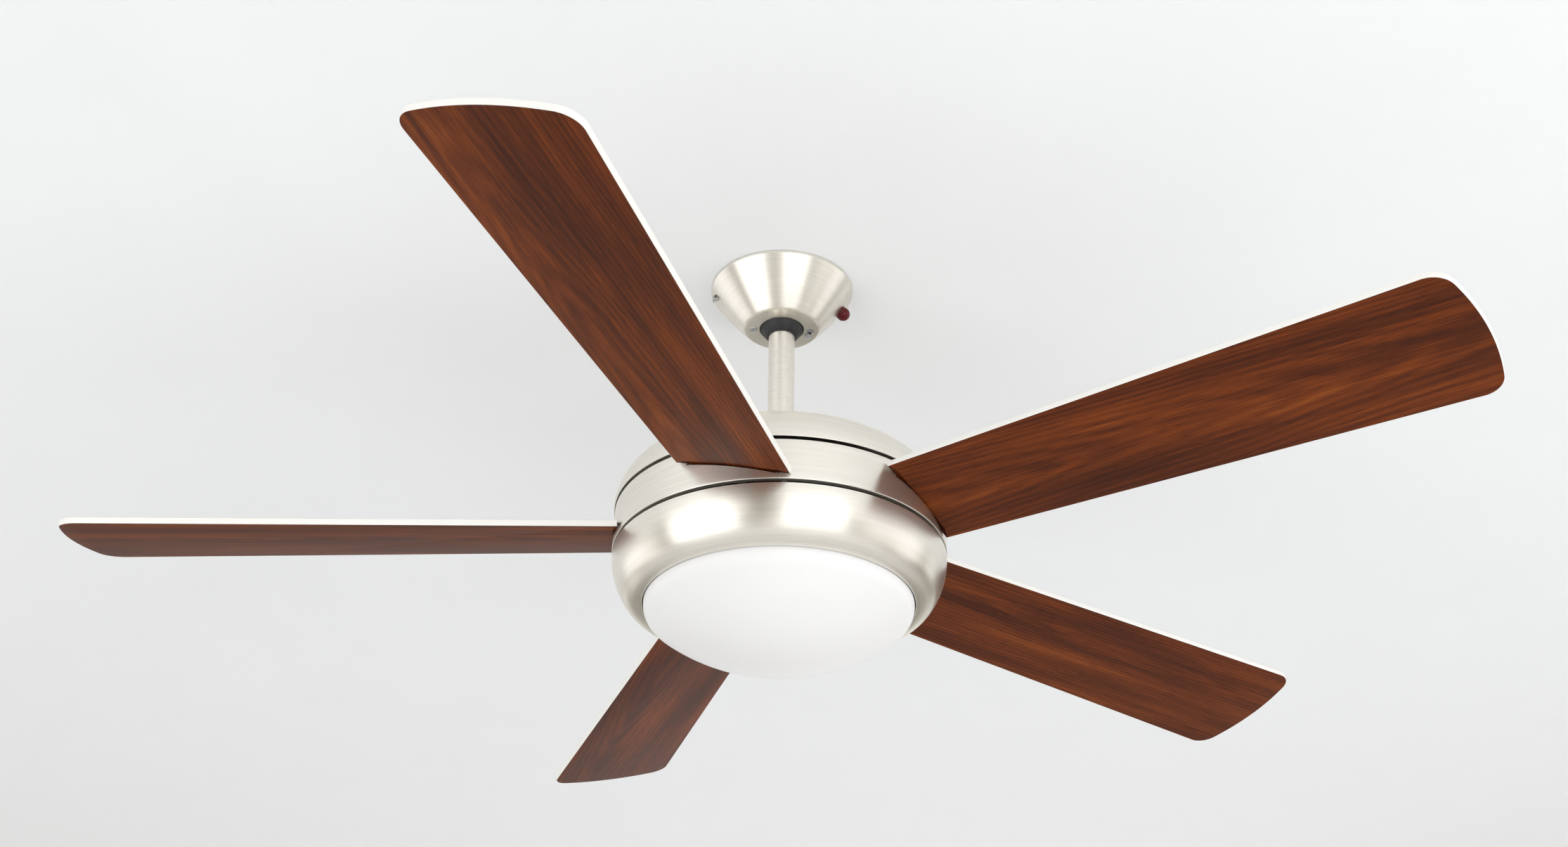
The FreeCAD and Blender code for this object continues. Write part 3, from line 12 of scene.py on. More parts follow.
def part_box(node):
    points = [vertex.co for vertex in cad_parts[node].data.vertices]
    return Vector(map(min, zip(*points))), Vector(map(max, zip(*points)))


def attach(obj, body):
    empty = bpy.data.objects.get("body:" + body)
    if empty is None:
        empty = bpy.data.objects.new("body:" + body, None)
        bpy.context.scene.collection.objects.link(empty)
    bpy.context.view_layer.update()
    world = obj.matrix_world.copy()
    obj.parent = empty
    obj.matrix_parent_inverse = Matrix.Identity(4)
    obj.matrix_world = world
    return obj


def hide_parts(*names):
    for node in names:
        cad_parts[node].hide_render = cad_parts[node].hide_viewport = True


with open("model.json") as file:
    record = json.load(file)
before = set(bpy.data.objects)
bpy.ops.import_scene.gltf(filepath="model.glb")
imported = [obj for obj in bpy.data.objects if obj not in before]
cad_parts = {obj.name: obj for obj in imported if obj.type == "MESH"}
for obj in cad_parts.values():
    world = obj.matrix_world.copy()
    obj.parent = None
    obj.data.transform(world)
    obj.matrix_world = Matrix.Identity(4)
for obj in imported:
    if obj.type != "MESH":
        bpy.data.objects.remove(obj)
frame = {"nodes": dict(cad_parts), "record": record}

bl_info = {
    "name": "Ceiling fan with light",
    "version": (1, 0, 0),
    "blender": (4, 5, 0),
    "location": "View3D > Sidebar > Ceiling fan",
    "description": "Builds the visible surfaces and finishes of a ceiling fan",
    "category": "Object",
}


# ---------------------------------------------------------------- sizes
def length(name, value, about):
    """A length property in metres."""
    return FloatProperty(name=name, description=about, default=value, unit="LENGTH", precision=5)


def angle(name, degrees, about):
    """An angle property."""
    return FloatProperty(name=name, description=about, default=math.radians(degrees), subtype="ANGLE")


class FanCanopySizes(bpy.types.PropertyGroup):
    """The spun canopy and what shows at its foot."""

    radius: length("Radius", 0.0715, "Canopy at the ceiling")
    rim: length("Rim", 0.0025, "Upright rim")
    foot: length("Depth", 0.0464, "Ceiling to the flat ring")
    ring: length("Ring", 0.0352, "Outer radius of the flat ring")
    hole: length("Hole", 0.022, "Hole that the ball looks out of")
    wall: length("Wall", 0.001, "Sheet thickness")
    side: length("Side arc", 0.480, "Radius of the side in section")
    screw: length("Screw circle", 0.0285, "Ring screws from the axis")
    ball: length("Ball", 0.023, "Hanger ball")
    ball_drop: length("Ball drop", 0.038, "Ceiling to the ball's centre")
    lens: length("Window", 0.007, "Infra-red window")


class FanHousingSizes(bpy.types.PropertyGroup):
    """The two still housings and the turning band between them."""

    radius: length("Radius", 0.156, "Lower bowl and top housing")
    wall: length("Wall", 0.0012, "Sheet thickness")
    dome_foot: length("Dome foot", -0.2615, "Height of the top housing's lower edge")
    dome_top: length("Dome top", -0.2120, "Height of its flat middle")
    shoulder: length("Shoulder", 0.042, "Shoulder radius in section")
    band_top: length("Band top", -0.2642, "Height of the band's upper edge")
    band_foot: length("Band foot", -0.3042, "Height of the band's lower edge")
    bowl_top: length("Bowl top", -0.3080, "Height of the bowl's upper edge")
    bowl_depth: length("Bowl depth", 0.046, "Depth of the bowl")
    mouth: length("Mouth", 0.1265, "Radius of the bowl's mouth")
    turn: angle("Turn", 34, "Angle at which the side passes into the lower turn")


class FanGlassSizes(bpy.types.PropertyGroup):
    """The opal glass."""

    radius: length("Radius", 0.1248, "Outer radius")
    wall: length("Wall", 0.0035, "Glass thickness")
    top: length("Top", -0.3410, "Height of its upper edge")
    bottom: length("Bottom", -0.4078, "Height of its lowest point")
    sphere: length("Sphere", 0.1936, "Radius of its underside")
    turn: length("Turn", 0.014, "Radius of its lower corner in section")


class FanBladeSizes(bpy.types.PropertyGroup):
    """The five blades."""

    count: IntProperty(name="Blades", description="Blades around the motor", default=5, min=2)
    first: angle("First", 180, "First blade around the axis")
    pitch: angle("Pitch", 14, "Pitch, trailing edge low")
    droop: angle("Droop", 0.78, "Droop towards the tip")
    plane: length("Plane", -0.2845, "Height of the plane of the blades")
    thick: length("Thickness", 0.0055, "Board thickness")
    offset: length("Offset", 0.005, "Centre line beside the radius")
    root: length("Half width", 0.0495, "Half width carried in to the axis")
    growth: FloatProperty(name="Growth", description="Growth of the half width with radius", default=0.0311)
    tip: length("Tip", 0.660, "Radius of the tip")
    tip_arc: length("Tip arc", 0.225, "Radius of the tip in plan")
    corner: length("Tip corner", 0.021, "Radius of the tip corners")
    shoulder: length("Shoulder", 0.1595, "Radius that the shoulders follow")
    tongue: length("Tongue", 0.0405, "Half width of the tongue")
    start: length("Start", 0.112, "Axis to the tongue's end")


# ---------------------------------------------------------------- surfaces
def arc(centre, radius, start, end, steps=24):
    """Points on a circle: centre plus radius times (cos, sin), start to end in degrees."""
    turn = np.radians(np.linspace(start, end, steps))
    return np.stack([centre[0] + radius * np.cos(turn), centre[1] + radius * np.sin(turn)], axis=1)


def rounded(corners, steps=8):
    """A closed outline with each corner (x, y, radius) replaced by the arc that touches both its sides."""
    points = np.array([corner[:2] for corner in corners], float)
    out = []
    for place, (here, radius) in enumerate(zip(points, [corner[2] for corner in corners])):
        before = points[place - 1] - here
        after = points[(place + 1) % len(points)] - here
        if radius <= 0:
            out.append(here[None])
            continue
        before, after = before / np.linalg.norm(before), after / np.linalg.norm(after)
        half = 0.5 * math.acos(float(np.clip(before @ after, -1, 1)))
        middle = (before + after) / np.linalg.norm(before + after)
        centre = here + middle * radius / math.sin(half)
        first = here + before * radius / math.tan(half) - centre
        last = here + after * radius / math.tan(half) - centre
        angles = [math.atan2(v[1], v[0]) for v in (first, last)]
        sweep = (angles[1] - angles[0] + math.pi) % (2 * math.pi) - math.pi
        turn = angles[0] + sweep * np.linspace(0, 1, steps)
        out.append(np.stack([centre[0] + radius * np.cos(turn), centre[1] + radius * np.sin(turn)], axis=1))
    return np.concatenate(out)


def closer(points, step):
    """Adds points along the long sides of a closed outline, so that none is longer than step."""
    following = np.roll(points, -1, axis=0)
    out = []
    for here, there in zip(points, following):
        count = max(1, int(np.ceil(np.linalg.norm(there - here) / step)))
        out.append(here + (there - here) * np.arange(count)[:, None] / count)
    return np.concatenate(out)


def outward(faces, points):
    """Turns a closed mesh's faces outward: the signed volume of its corners has to be positive."""
    volume = 0.0
    for face in faces:
        fan = points[face]
        normals = np.cross(fan[1:-1] - fan[0], fan[2:] - fan[0])
        volume += float(np.sum(normals @ fan[0]))
    return faces if volume > 0 else [face[::-1] for face in faces]


def make_object(name, points, faces, smooth=30):
    """A mesh object at the origin, from whole arrays of corners and faces."""
    mesh = bpy.data.meshes.new(name)
    mesh.from_pydata(points.tolist(), [], [list(map(int, face)) for face in faces])
    mesh.update()
    thing = bpy.data.objects.new(name, mesh)
    bpy.context.collection.objects.link(thing)
    mesh.shade_smooth()
    mesh.set_sharp_from_angle(angle=math.radians(smooth))
    return thing


def attribute(thing, name, values):
    """Stores one vector for each corner point of the mesh."""
    layer = thing.data.attributes.new(name, "FLOAT_VECTOR", "POINT")
    layer.data.foreach_set("vector", np.ascontiguousarray(values, np.float32).ravel())


def turned(name, profile, turns=256, smooth=30):
    """A closed outline of (radius, height) carried round the Z axis: x = r cos a, y = r sin a, z = h.
    Where the outline meets the axis, its ring is one point."""
    radius, height = profile[:, 0], profile[:, 1]
    around = np.linspace(0, 2 * np.pi, turns, endpoint=False)
    rows, start, points, count = len(profile), [], [], 0
    pole = radius < 1e-7
    for row in range(rows):
        start.append(count)
        if pole[row]:
            ring = np.array([[0, 0, height[row]]])
        else:
            ring = np.stack([radius[row] * np.cos(around), radius[row] * np.sin(around),
                             np.full(turns, height[row])], axis=1)
        points.append(ring)
        count += len(ring)
    points = np.concatenate(points)
    faces = []
    column = np.arange(turns)
    following = (column + 1) % turns
    for row in range(rows):
        below = (row + 1) % rows
        if pole[row] and pole[below]:
            continue
        if pole[row]:
            faces += np.stack([np.full(turns, start[row]), start[below] + column,
                               start[below] + following], axis=1).tolist()
        elif pole[below]:
            faces += np.stack([start[row] + column, np.full(turns, start[below]),
                               start[row] + following], axis=1).tolist()
        else:
            faces += np.stack([start[row] + column, start[below] + column, start[below] + following,
                               start[row] + following], axis=1).tolist()
    faces = outward([np.array(face) for face in faces], points)
    thing = make_object(name, points, faces, smooth)
    brush(thing)
    return thing


# Brushing: how far its pattern runs while going once round, in metres, and how much of it goes outward.
LINE_TURN = 0.004
SLOPE_SHARE = 0.7


def brush(thing):
    """Stores, for brushing that runs round Z, the tangent and a coordinate that is stretched along it."""
    count = len(thing.data.vertices)
    flat = np.empty(count * 3, np.float32)
    thing.data.vertices.foreach_get("co", flat)
    place = flat.reshape(-1, 3)
    radius = np.maximum(np.hypot(place[:, 0], place[:, 1]), 1e-6)
    zero = np.zeros(count)
    attribute(thing, "around", np.stack([-place[:, 1] / radius, place[:, 0] / radius, zero], axis=1))
    across = radius * SLOPE_SHARE + place[:, 2]
    stretched = place[:, :2] / radius[:, None] * LINE_TURN
    attribute(thing, "brushed", np.column_stack([stretched, across]))


def cut_with(thing, cutters):
    """Takes closed shapes away from a piece, for good, and removes them."""
    for cutter in cutters:
        step = thing.modifiers.new("opening", "BOOLEAN")
        step.operation = "DIFFERENCE"
        step.solver = "EXACT"
        step.object = cutter
    graph = bpy.context.evaluated_depsgraph_get()
    fresh = bpy.data.meshes.new_from_object(thing.evaluated_get(graph))
    thing.modifiers.clear()
    old = thing.data
    thing.data = fresh
    bpy.data.meshes.remove(old)
    for cutter in cutters:
        bpy.data.objects.remove(cutter, do_unlink=True)
    for name in ("around", "brushed"):
        layer = thing.data.attributes.get(name)
        if layer:
            thing.data.attributes.remove(layer)
    brush(thing)
    thing.data.shade_smooth()
    thing.data.set_sharp_from_angle(angle=math.radians(30))


def prism(name, outline, low, high):
    """A closed outline in X and Y carried straight up from low to high, with flat ends."""
    count = len(outline)
    points = np.concatenate([np.column_stack([outline, np.full(count, low)]),
                             np.column_stack([outline, np.full(count, high)])])
    here = np.arange(count)
    there = (here + 1) % count
    sides = np.stack([here, there, there + count, here + count], axis=1).tolist()
    ends = [list(range(count))[::-1], list(range(count, 2 * count))]
    faces = outward([np.array(face) for face in sides + ends], points)
    return make_object(name, points, faces)


def loops(name, rings, smooth=30):
    """Rings of equal length joined one to the next, with a flat face over the first and the last."""
    points = np.concatenate(rings)
    count = len(rings[0])
    here = np.arange(count)
    there = (here + 1) % count
    faces = []
    for row in range(len(rings) - 1):
        low, high = row * count, (row + 1) * count
        faces += np.stack([low + here, low + there, high + there, high + here], axis=1).tolist()
    faces += [list(range(count))[::-1], list(range(len(points) - count, len(points)))]
    faces = outward([np.array(face) for face in faces], points)
    return make_object(name, points, faces, smooth)


def moved(thing, matrix):
    """Writes a placement into the corners, so that the object stays at the origin."""
    thing.data.transform(matrix)
    return thing


def blade_matrix(turn):
    """A blade's frame: X out along the blade, Y to its low edge, Z off its underside."""
    sizes = bpy.context.scene.fan_blade
    azimuth = sizes.first + turn * 2 * math.pi / sizes.count
    return (Matrix.Translation((0, 0, sizes.plane)) @ Matrix.Rotation(azimuth, 4, "Z")
            @ Matrix.Rotation(sizes.droop, 4, "Y") @ Matrix.Rotation(-sizes.pitch, 4, "X"))


def dress(thing, body, slot, material, *nodes):
    """Gives a piece its finish, its CAD body, and the CAD nodes that it stands for."""
    thing.data.materials.clear()
    thing.data.materials.append(material)
    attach(thing, body)
    if nodes:
        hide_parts(*nodes)
    return thing


# ---------------------------------------------------------------- materials
def colour(text):
    """A hex colour as linear light with alpha."""
    channels = [int(text[place:place + 2], 16) / 255 for place in (1, 3, 5)]
    linear = [c / 12.92 if c <= 0.04045 else ((c + 0.055) / 1.055) ** 2.4 for c in channels]
    return (*linear, 1.0)


def add(tree, kind, inputs=None, **settings):
    """Adds a node, sets its properties, and links or sets its inputs."""
    made = tree.nodes.new(kind)
    for name, value in settings.items():
        setattr(made, name, value)
    for name, value in (inputs or {}).items():
        if isinstance(value, bpy.types.NodeSocket):
            tree.links.new(value, made.inputs[name])
        else:
            made.inputs[name].default_value = value
    return made


def new_material(name, about):
    """An empty material with a Principled shader, noted with what it really is."""
    found = bpy.data.materials.get(name)
    if found:
        return found, None, None
    made = bpy.data.materials.new(name)
    made["about"] = about
    made.use_nodes = True
    tree = made.node_tree
    tree.nodes.clear()
    shader = add(tree, "ShaderNodeBsdfPrincipled")
    add(tree, "ShaderNodeOutputMaterial", {"Surface": shader.outputs["BSDF"]})
    return made, tree, shader


def join(tree, socket, shader, name):
    """Links a socket to an input of the shader."""
    tree.links.new(socket, shader.inputs[name])


def ramp(tree, factor, stops):
    """A colour ramp with (place, hex) stops."""
    made = add(tree, "ShaderNodeValToRGB", {"Fac": factor})
    band = made.color_ramp
    while len(band.elements) < len(stops):
        band.elements.new(0.5)
    for element, (place, text) in zip(band.elements, stops):
        element.position = place
        element.color = colour(text)
    return made.outputs["Color"]


def scaled(tree, vector, scale):
    """A vector multiplied part by part."""
    return add(tree, "ShaderNodeMapping", {"Vector": vector, "Scale": scale}).outputs["Vector"]


def noise(tree, vector, scale, detail=3.0, roughness=0.5):
    """Fractal noise from 0 to 1."""
    return add(tree, "ShaderNodeTexNoise",
               {"Vector": vector, "Scale": scale, "Detail": detail, "Roughness": roughness}).outputs["Fac"]


def spread(tree, value, low, high):
    """A 0 to 1 value carried to another range."""
    return add(tree, "ShaderNodeMapRange", {"Value": value, "To Min": low, "To Max": high}).outputs["Result"]


def bump(tree, height, shader, strength, distance):
    """Relief from a height value; distance is its real depth in metres."""
    made = add(tree, "ShaderNodeBump", {"Height": height, "Strength": strength, "Distance": distance})
    join(tree, made.outputs["Normal"], shader, "Normal")


def brushed_nickel():
    """Satin nickel plate on spun steel, brushed on a lathe, so that the lines run round the axis."""
    about = "Nickel plate on spun steel, brushed on the lathe, lacquered"
    made, tree, shader = new_material("brushed nickel", about)
    if tree is None:
        return made
    lines = add(tree, "ShaderNodeAttribute", attribute_name="brushed").outputs["Vector"]
    # Scratches 0.28 mm apart, coarser than real ones so that they show, in bands 2.4 mm wide.
    fine = noise(tree, lines, 3600, 2.0)
    broad = noise(tree, lines, 420, 2.0)
    both = add(tree, "ShaderNodeMath", {0: fine, 1: broad}, operation="ADD").outputs[0]
    shader.inputs["Metallic"].default_value = 1.0
    join(tree, ramp(tree, broad, [(0.3, "#e9e4da"), (0.7, "#f0ece3")]), shader, "Base Color")
    join(tree, spread(tree, fine, 0.29, 0.36), shader, "Roughness")
    shader.inputs["Anisotropic"].default_value = 0.75
    shader.inputs["Anisotropic Rotation"].default_value = 0.25
    join(tree, add(tree, "ShaderNodeAttribute", attribute_name="around").outputs["Vector"], shader, "Tangent")
    bump(tree, both, shader, 0.08, 0.00002)
    return made


def walnut():
    """Walnut-pattern laminate on a fibreboard: printed grain under a satin melamine face.
    Growth rings are distances from a pith that leans away from the board, which draws the arched figure."""
    about = "Printed walnut laminate pressed on fibreboard, satin face"
    made, tree, shader = new_material("walnut laminate", about)
    if tree is None:
        return made
    grain = add(tree, "ShaderNodeAttribute", attribute_name="grain").outputs["Vector"]
    wander = add(tree, "ShaderNodeTexNoise", {"Vector": scaled(tree, grain, (1.2, 7.0, 1.0)), "Scale": 3.0,
                                              "Detail": 3.0}).outputs["Fac"]
    parts = add(tree, "ShaderNodeSeparateXYZ", {"Vector": grain})
    lean = add(tree, "ShaderNodeMath", {0: parts.outputs["X"], 1: 0.05, 2: 0.002}, operation="MULTIPLY_ADD")
    far = add(tree, "ShaderNodeCombineXYZ", {"X": lean.outputs[0], "Y": parts.outputs["Y"], "Z": 0.0})
    ring = add(tree, "ShaderNodeVectorMath", {0: far.outputs[0]}, operation="LENGTH").outputs["Value"]
    # 1500 radians a metre is a growth ring each 4.2 mm.
    count = add(tree, "ShaderNodeMath", {0: ring, 1: 1500.0}, operation="MULTIPLY").outputs[0]
    bent = add(tree, "ShaderNodeMath", {0: wander, 1: 22.0, 2: count}, operation="MULTIPLY_ADD").outputs[0]
    wave = add(tree, "ShaderNodeMath", {0: bent}, operation="SINE").outputs[0]
    rings = spread(tree, wave, 0.0, 1.0)
    rings.node.inputs["From Min"].default_value = -1.0
    # Fibres 1.1 mm wide and 71 mm long, over bands 22 mm wide and 330 mm long.
    fibre = noise(tree, scaled(tree, grain, (14.0, 900.0, 1.0)), 1.0, 4.0, 0.6)
    broad = noise(tree, scaled(tree, grain, (3.0, 46.0, 1.0)), 1.0, 3.0)
    streaks = spread(tree, fibre, 0.0, 0.42)
    mixed = add(tree, "ShaderNodeMath", {0: rings, 1: 0.07, 2: streaks}, operation="MULTIPLY_ADD").outputs[0]
    total = add(tree, "ShaderNodeMath", {0: broad, 1: 0.55, 2: mixed}, operation="MULTIPLY_ADD").outputs[0]
    face = ramp(tree, total, [(0.32, "#301206"), (0.48, "#502208"), (0.62, "#70330c"), (0.84, "#9a5520")])
    # Pores 0.4 mm wide and 17 mm long.
    pores = noise(tree, scaled(tree, grain, (60.0, 2600.0, 1.0)), 1.0, 1.0)
    dark = ramp(tree, pores, [(0.30, "#aaaaaa"), (0.42, "#ffffff")])
    mix = tree.nodes.new("ShaderNodeMix")
    mix.data_type = "RGBA"
    mix.blend_type = "MULTIPLY"
    mix.inputs[0].default_value = 1.0
    tree.links.new(face, mix.inputs[6])
    tree.links.new(dark, mix.inputs[7])
    join(tree, mix.outputs[2], shader, "Base Color")
    join(tree, spread(tree, fibre, 0.44, 0.56), shader, "Roughness")
    shader.inputs["Specular IOR Level"].default_value = 0.16
    bump(tree, pores, shader, 0.15, 0.00003)
    return made


def plain(name, about, text, roughness, metallic=0.0, mottle=0.06, scale=60.0, depth=0.00003, vary=0.08):
    """A finish of one colour, slightly uneven in tone, gloss and relief, at a scale in cycles a metre."""
    made, tree, shader = new_material(name, about)
    if tree is None:
        return made
    place = add(tree, "ShaderNodeTexCoord").outputs["Object"]
    uneven = noise(tree, place, scale, 4.0)
    red, green, blue, alpha = colour(text)
    tone = add(tree, "ShaderNodeValToRGB", {"Fac": uneven})
    for element, change in zip(tone.color_ramp.elements, (1 - mottle, 1 + mottle)):
        element.color = (min(1, red * change), min(1, green * change), min(1, blue * change), alpha)
    join(tree, tone.outputs["Color"], shader, "Base Color")
    join(tree, spread(tree, uneven, max(0.02, roughness - vary), roughness + vary), shader, "Roughness")
    shader.inputs["Metallic"].default_value = metallic
    bump(tree, noise(tree, place, scale * 20, 2.0), shader, 0.3, depth)
    return made


def white_laminate():
    """White melamine edging and top face of the blades."""
    about = "White melamine foil, slightly satin"
    return plain("white laminate", about, "#e9e7e2", 0.42, mottle=0.02, scale=20)


def opal_glass():
    """Blown opal glass, acid-satined outside: white all through, with a soft sheen, and a faint painted glow
    that brightens it though no lamp inside is lit.
    """
    about = "Mould-blown opal glass, acid-etched to a satin face"
    made = plain("opal glass", about, "#e6e6e6", 0.42, mottle=0.01, scale=12)
    shader = next(n for n in made.node_tree.nodes if n.type == "BSDF_PRINCIPLED")
    shader.inputs["Specular IOR Level"].default_value = 0.35
    # Painted light: a faint white glow on the glass that makes it read brighter; the bulbs inside give no
    # light.
    shader.inputs["Emission Color"].default_value = colour("#ffffff")
    shader.inputs["Emission Strength"].default_value = 0.02
    return made


def red_window():
    """Dark red acrylic that passes infra-red, moulded and polished."""
    about = "Injection-moulded dark red acrylic, polished"
    made = plain("red window", about, "#560610", 0.05, mottle=0.05, scale=90, vary=0.03)
    shader = next(n for n in made.node_tree.nodes if n.type == "BSDF_PRINCIPLED")
    shader.inputs["Specular IOR Level"].default_value = 0.3
    return made


FINISHES = {
    "zinc_steel": ("zinc plated steel", "Pressed steel, bright zinc plate", "#b4b6b8", 0.36, 1.0),
    "bright_steel": ("ground bearing steel", "Hardened steel, ground and polished", "#c8c9ca", 0.16, 1.0),
    "black_nylon": ("black nylon", "Moulded nylon, fine spark-eroded grain", "#141415", 0.48, 0.0),
    "pvc_leads": ("lead insulation", "Extruded PVC over copper", "#1b1b1b", 0.35, 0.0),
    "white_nylon": ("white nylon", "Moulded natural nylon", "#dad8d0", 0.42, 0.0),
    "cast_steel": ("cast steel", "Cast steel, turned faces, grey primer", "#606264", 0.5, 0.6),
    "cast_aluminium": ("die-cast aluminium", "Die-cast aluminium, tumbled", "#a9abac", 0.46, 1.0),
    "lamination_steel": ("stator laminations", "Stacked electrical steel, varnished", "#57585a", 0.5, 0.8),
    "copper_windings": ("copper windings", "Enamelled copper wire, dipped in varnish", "#8a4a28", 0.36, 0.7),
    "black_arm_steel": ("black powder coat", "Pressed steel, black powder coat", "#161616", 0.5, 0.0),
    "white_enamel": ("white enamel", "Steel sheet, sprayed white enamel", "#ecebe6", 0.32, 0.0),
    "porcelain_socket": ("porcelain", "Slip-cast porcelain, clear glaze", "#e8e5dc", 0.18, 0.0),
    "bulb_glass": ("frosted bulb", "Glass bulb, white powder coat inside", "#f3f2ec", 0.34, 0.0),
    "rubber_gasket": ("grey rubber", "Extruded silicone rubber", "#b9b8b4", 0.6, 0.0),
}


def finish_of(slot):
    """The material of one of the record's slots."""
    if slot == "brushed_nickel":
        return brushed_nickel()
    if slot == "walnut_blade":
        return walnut()
    if slot == "opal_glass":
        return opal_glass()
    if slot == "red_window":
        return red_window()
    name, about, text, roughness, metallic = FINISHES[slot]
    return plain(name, about, text, roughness, metallic)


# ---------------------------------------------------------------- pieces
# Azimuths on the canopy's ring and the window's direction, in degrees.
PLAIN_SCREW = 180
KEY_SCREW = 22
KEY_MOUTH = 4
WINDOW_AZIMUTH = 12
WINDOW_TILT = 38
STEM_SHARE = 0.75                       # the window's stem against its dome, as radii
BEND = 0.0045                           # the canopy's bend into its ring, outside
HEAD_RADIUS, HEAD_RISE = 0.0036, 0.0018


def window_place(sizes):
    """Where the window's dome has its centre, and the turn from straight up to the way that it faces."""
    azimuth, tilt = math.radians(WINDOW_AZIMUTH), math.radians(WINDOW_TILT)
    level = math.cos(tilt)
    out = Vector((math.cos(azimuth) * level, math.sin(azimuth) * level, -math.sin(tilt)))
    return Matrix.Translation(frame_centre("receiver_lens", sizes.lens)) @ facing(out)


def facing(direction):
    """The turn that takes straight up to a direction."""
    return Vector((0, 0, 1)).rotation_difference(Vector(direction)).to_matrix().to_4x4()


def canopy_profile(sizes):
    """Canopy section: an upright rim, a side that is an arc of large radius, a small turn and a flat ring."""
    side_foot = np.array([sizes.ring + 0.0034, -sizes.foot + 0.0015])
    side_top = np.array([sizes.radius, -sizes.rim])
    chord = side_top - side_foot
    along = np.linspace(0, 1, 14)[1:-1]
    out = np.array([chord[1], -chord[0]]) / np.linalg.norm(chord)
    rise = np.linalg.norm(chord) ** 2 / (8 * sizes.side) * 4 * along * (1 - along)
    side = side_foot + chord * along[:, None] + out * rise[:, None]
    turn = arc((sizes.ring, -sizes.foot + BEND), BEND, -90, -41, 10)
    outer = np.concatenate([[[sizes.hole + 0.0003, -sizes.foot]], turn, side,
                            [[sizes.radius, -sizes.rim], [sizes.radius, 0]]])
    inner_turn = arc((sizes.ring, -sizes.foot + BEND), BEND - 0.001, -41, -90, 8)
    edge = [[sizes.hole + 0.0003, -sizes.foot + sizes.wall], [sizes.hole, -sizes.foot + 0.0005]]
    inner = np.concatenate([[[sizes.radius - sizes.wall, 0], [sizes.radius - sizes.wall, -sizes.rim]],
                            side[::-1] - out * sizes.wall, inner_turn, edge])
    return np.concatenate([outer, inner])


class FAN_OT_canopy(bpy.types.Operator):
    """Builds the canopy with its keyhole and window opening"""

    bl_idname = "fan.canopy"
    bl_label = "Canopy"
    bl_options = {"REGISTER", "UNDO"}

    def execute(self, context):
        scene = context.scene
        sizes = scene.fan_canopy
        shell = turned("canopy_shell", canopy_profile(sizes), 256)
        start, end = math.radians(KEY_MOUTH), math.radians(KEY_SCREW)
        track = np.linspace(start, end, 16)
        way = np.stack([np.cos(track), np.sin(track)], axis=1)
        width = 0.0021
        edges = [way * (sizes.screw + width), (way * (sizes.screw - width))[::-1]]
        low, high = -0.049, -0.043
        slot = prism("keyhole_slot", np.concatenate(edges), low, high)
        ends = []
        for where, size in ((start, 0.0039), (end, width)):
            spot = (sizes.screw * math.cos(where), sizes.screw * math.sin(where))
            ends.append(prism("keyhole_end", arc(spot, size, 0, 360, 33)[:-1], low - 0.0002, high + 0.0002))
        round_edge = arc((0, 0), sizes.lens * STEM_SHARE + 0.0004, 0, 360, 65)[:-1]
        opening = moved(prism("window_opening", round_edge, -0.02, 0.006), window_place(sizes))
        cut_with(shell, [slot, opening] + ends)
        dress(shell, "mount", "brushed_nickel", finish_of("brushed_nickel"), "canopy")
        return {"FINISHED"}


def screw_head(name, radius, rise, place, direction):
    """A pan head: a low dome over a short upright edge, with a cross recess pressed into it.
    The dome's height falls with the square of the radius."""
    rings = np.linspace(0, 1, 22)
    turns = 72
    around = np.linspace(0, 2 * np.pi, turns, endpoint=False)
    r, a = np.meshgrid(rings[1:] * radius, around, indexing="ij")
    high = rise * (1 - 0.45 * (r / radius) ** 2)
    x, y = r * np.cos(a), r * np.sin(a)
    arm = np.minimum(np.abs(x), np.abs(y))
    reach = np.maximum(np.abs(x), np.abs(y))
    side = np.clip(1 - arm / (radius * 0.16), 0, 1) ** 0.5
    end = np.clip((radius * 0.62 - reach) / (radius * 0.2), 0, 1)
    high = high - rise * 0.55 * side * end
    top = np.stack([x, y, high], axis=2)
    edge = np.stack([radius * np.cos(around), radius * np.sin(around), np.zeros(turns)], axis=1)
    rows = [top[i] for i in range(len(rings) - 2, -1, -1)]
    points = np.concatenate([edge] + rows + [[[0, 0, rise * 0.45]]])
    here = np.arange(turns)
    there = (here + 1) % turns
    faces = []
    for row in range(len(rings) - 1):
        low, up = row * turns, (row + 1) * turns
        faces += np.stack([low + here, low + there, up + there, up + here], axis=1).tolist()
    last = (len(rings) - 1) * turns
    faces += np.stack([last + here, last + there, np.full(turns, len(points) - 1)], axis=1).tolist()
    faces += [list(range(turns))[::-1]]
    faces = outward([np.array(face) for face in faces], points)
    thing = make_object(name, points, faces, 40)
    return moved(thing, Matrix.Translation(place) @ facing(direction))


def merged(name, things):
    """Several meshes as separate shells of one object."""
    points, faces, base = [], [], 0
    for thing in things:
        count = len(thing.data.vertices)
        flat = np.empty(count * 3, np.float32)
        thing.data.vertices.foreach_get("co", flat)
        points.append(flat.reshape(-1, 3))
        faces += [[base + v for v in face.vertices] for face in thing.data.polygons]
        base += count
        bpy.data.objects.remove(thing, do_unlink=True)
    return make_object(name, np.concatenate(points), faces, 40)


def whole_screw(name, place, direction, length):
    """A pan-headed screw: the head, and a plain shank with a small chamfer that runs back from it.
    The shank is an outline of (radius, height) carried round its own axis."""
    radius, chamfer, sunk = 0.0019, 0.0003, 0.0002
    head = screw_head(name + "_head", HEAD_RADIUS, HEAD_RISE, place, direction)
    profile = np.array([[0, -length], [radius - chamfer, -length], [radius, chamfer - length],
                        [radius, sunk], [0, sunk]])
    shank = turned(name + "_shank", profile, 48)
    moved(shank, Matrix.Translation(place) @ facing(direction))
    return merged(name, [head, shank])


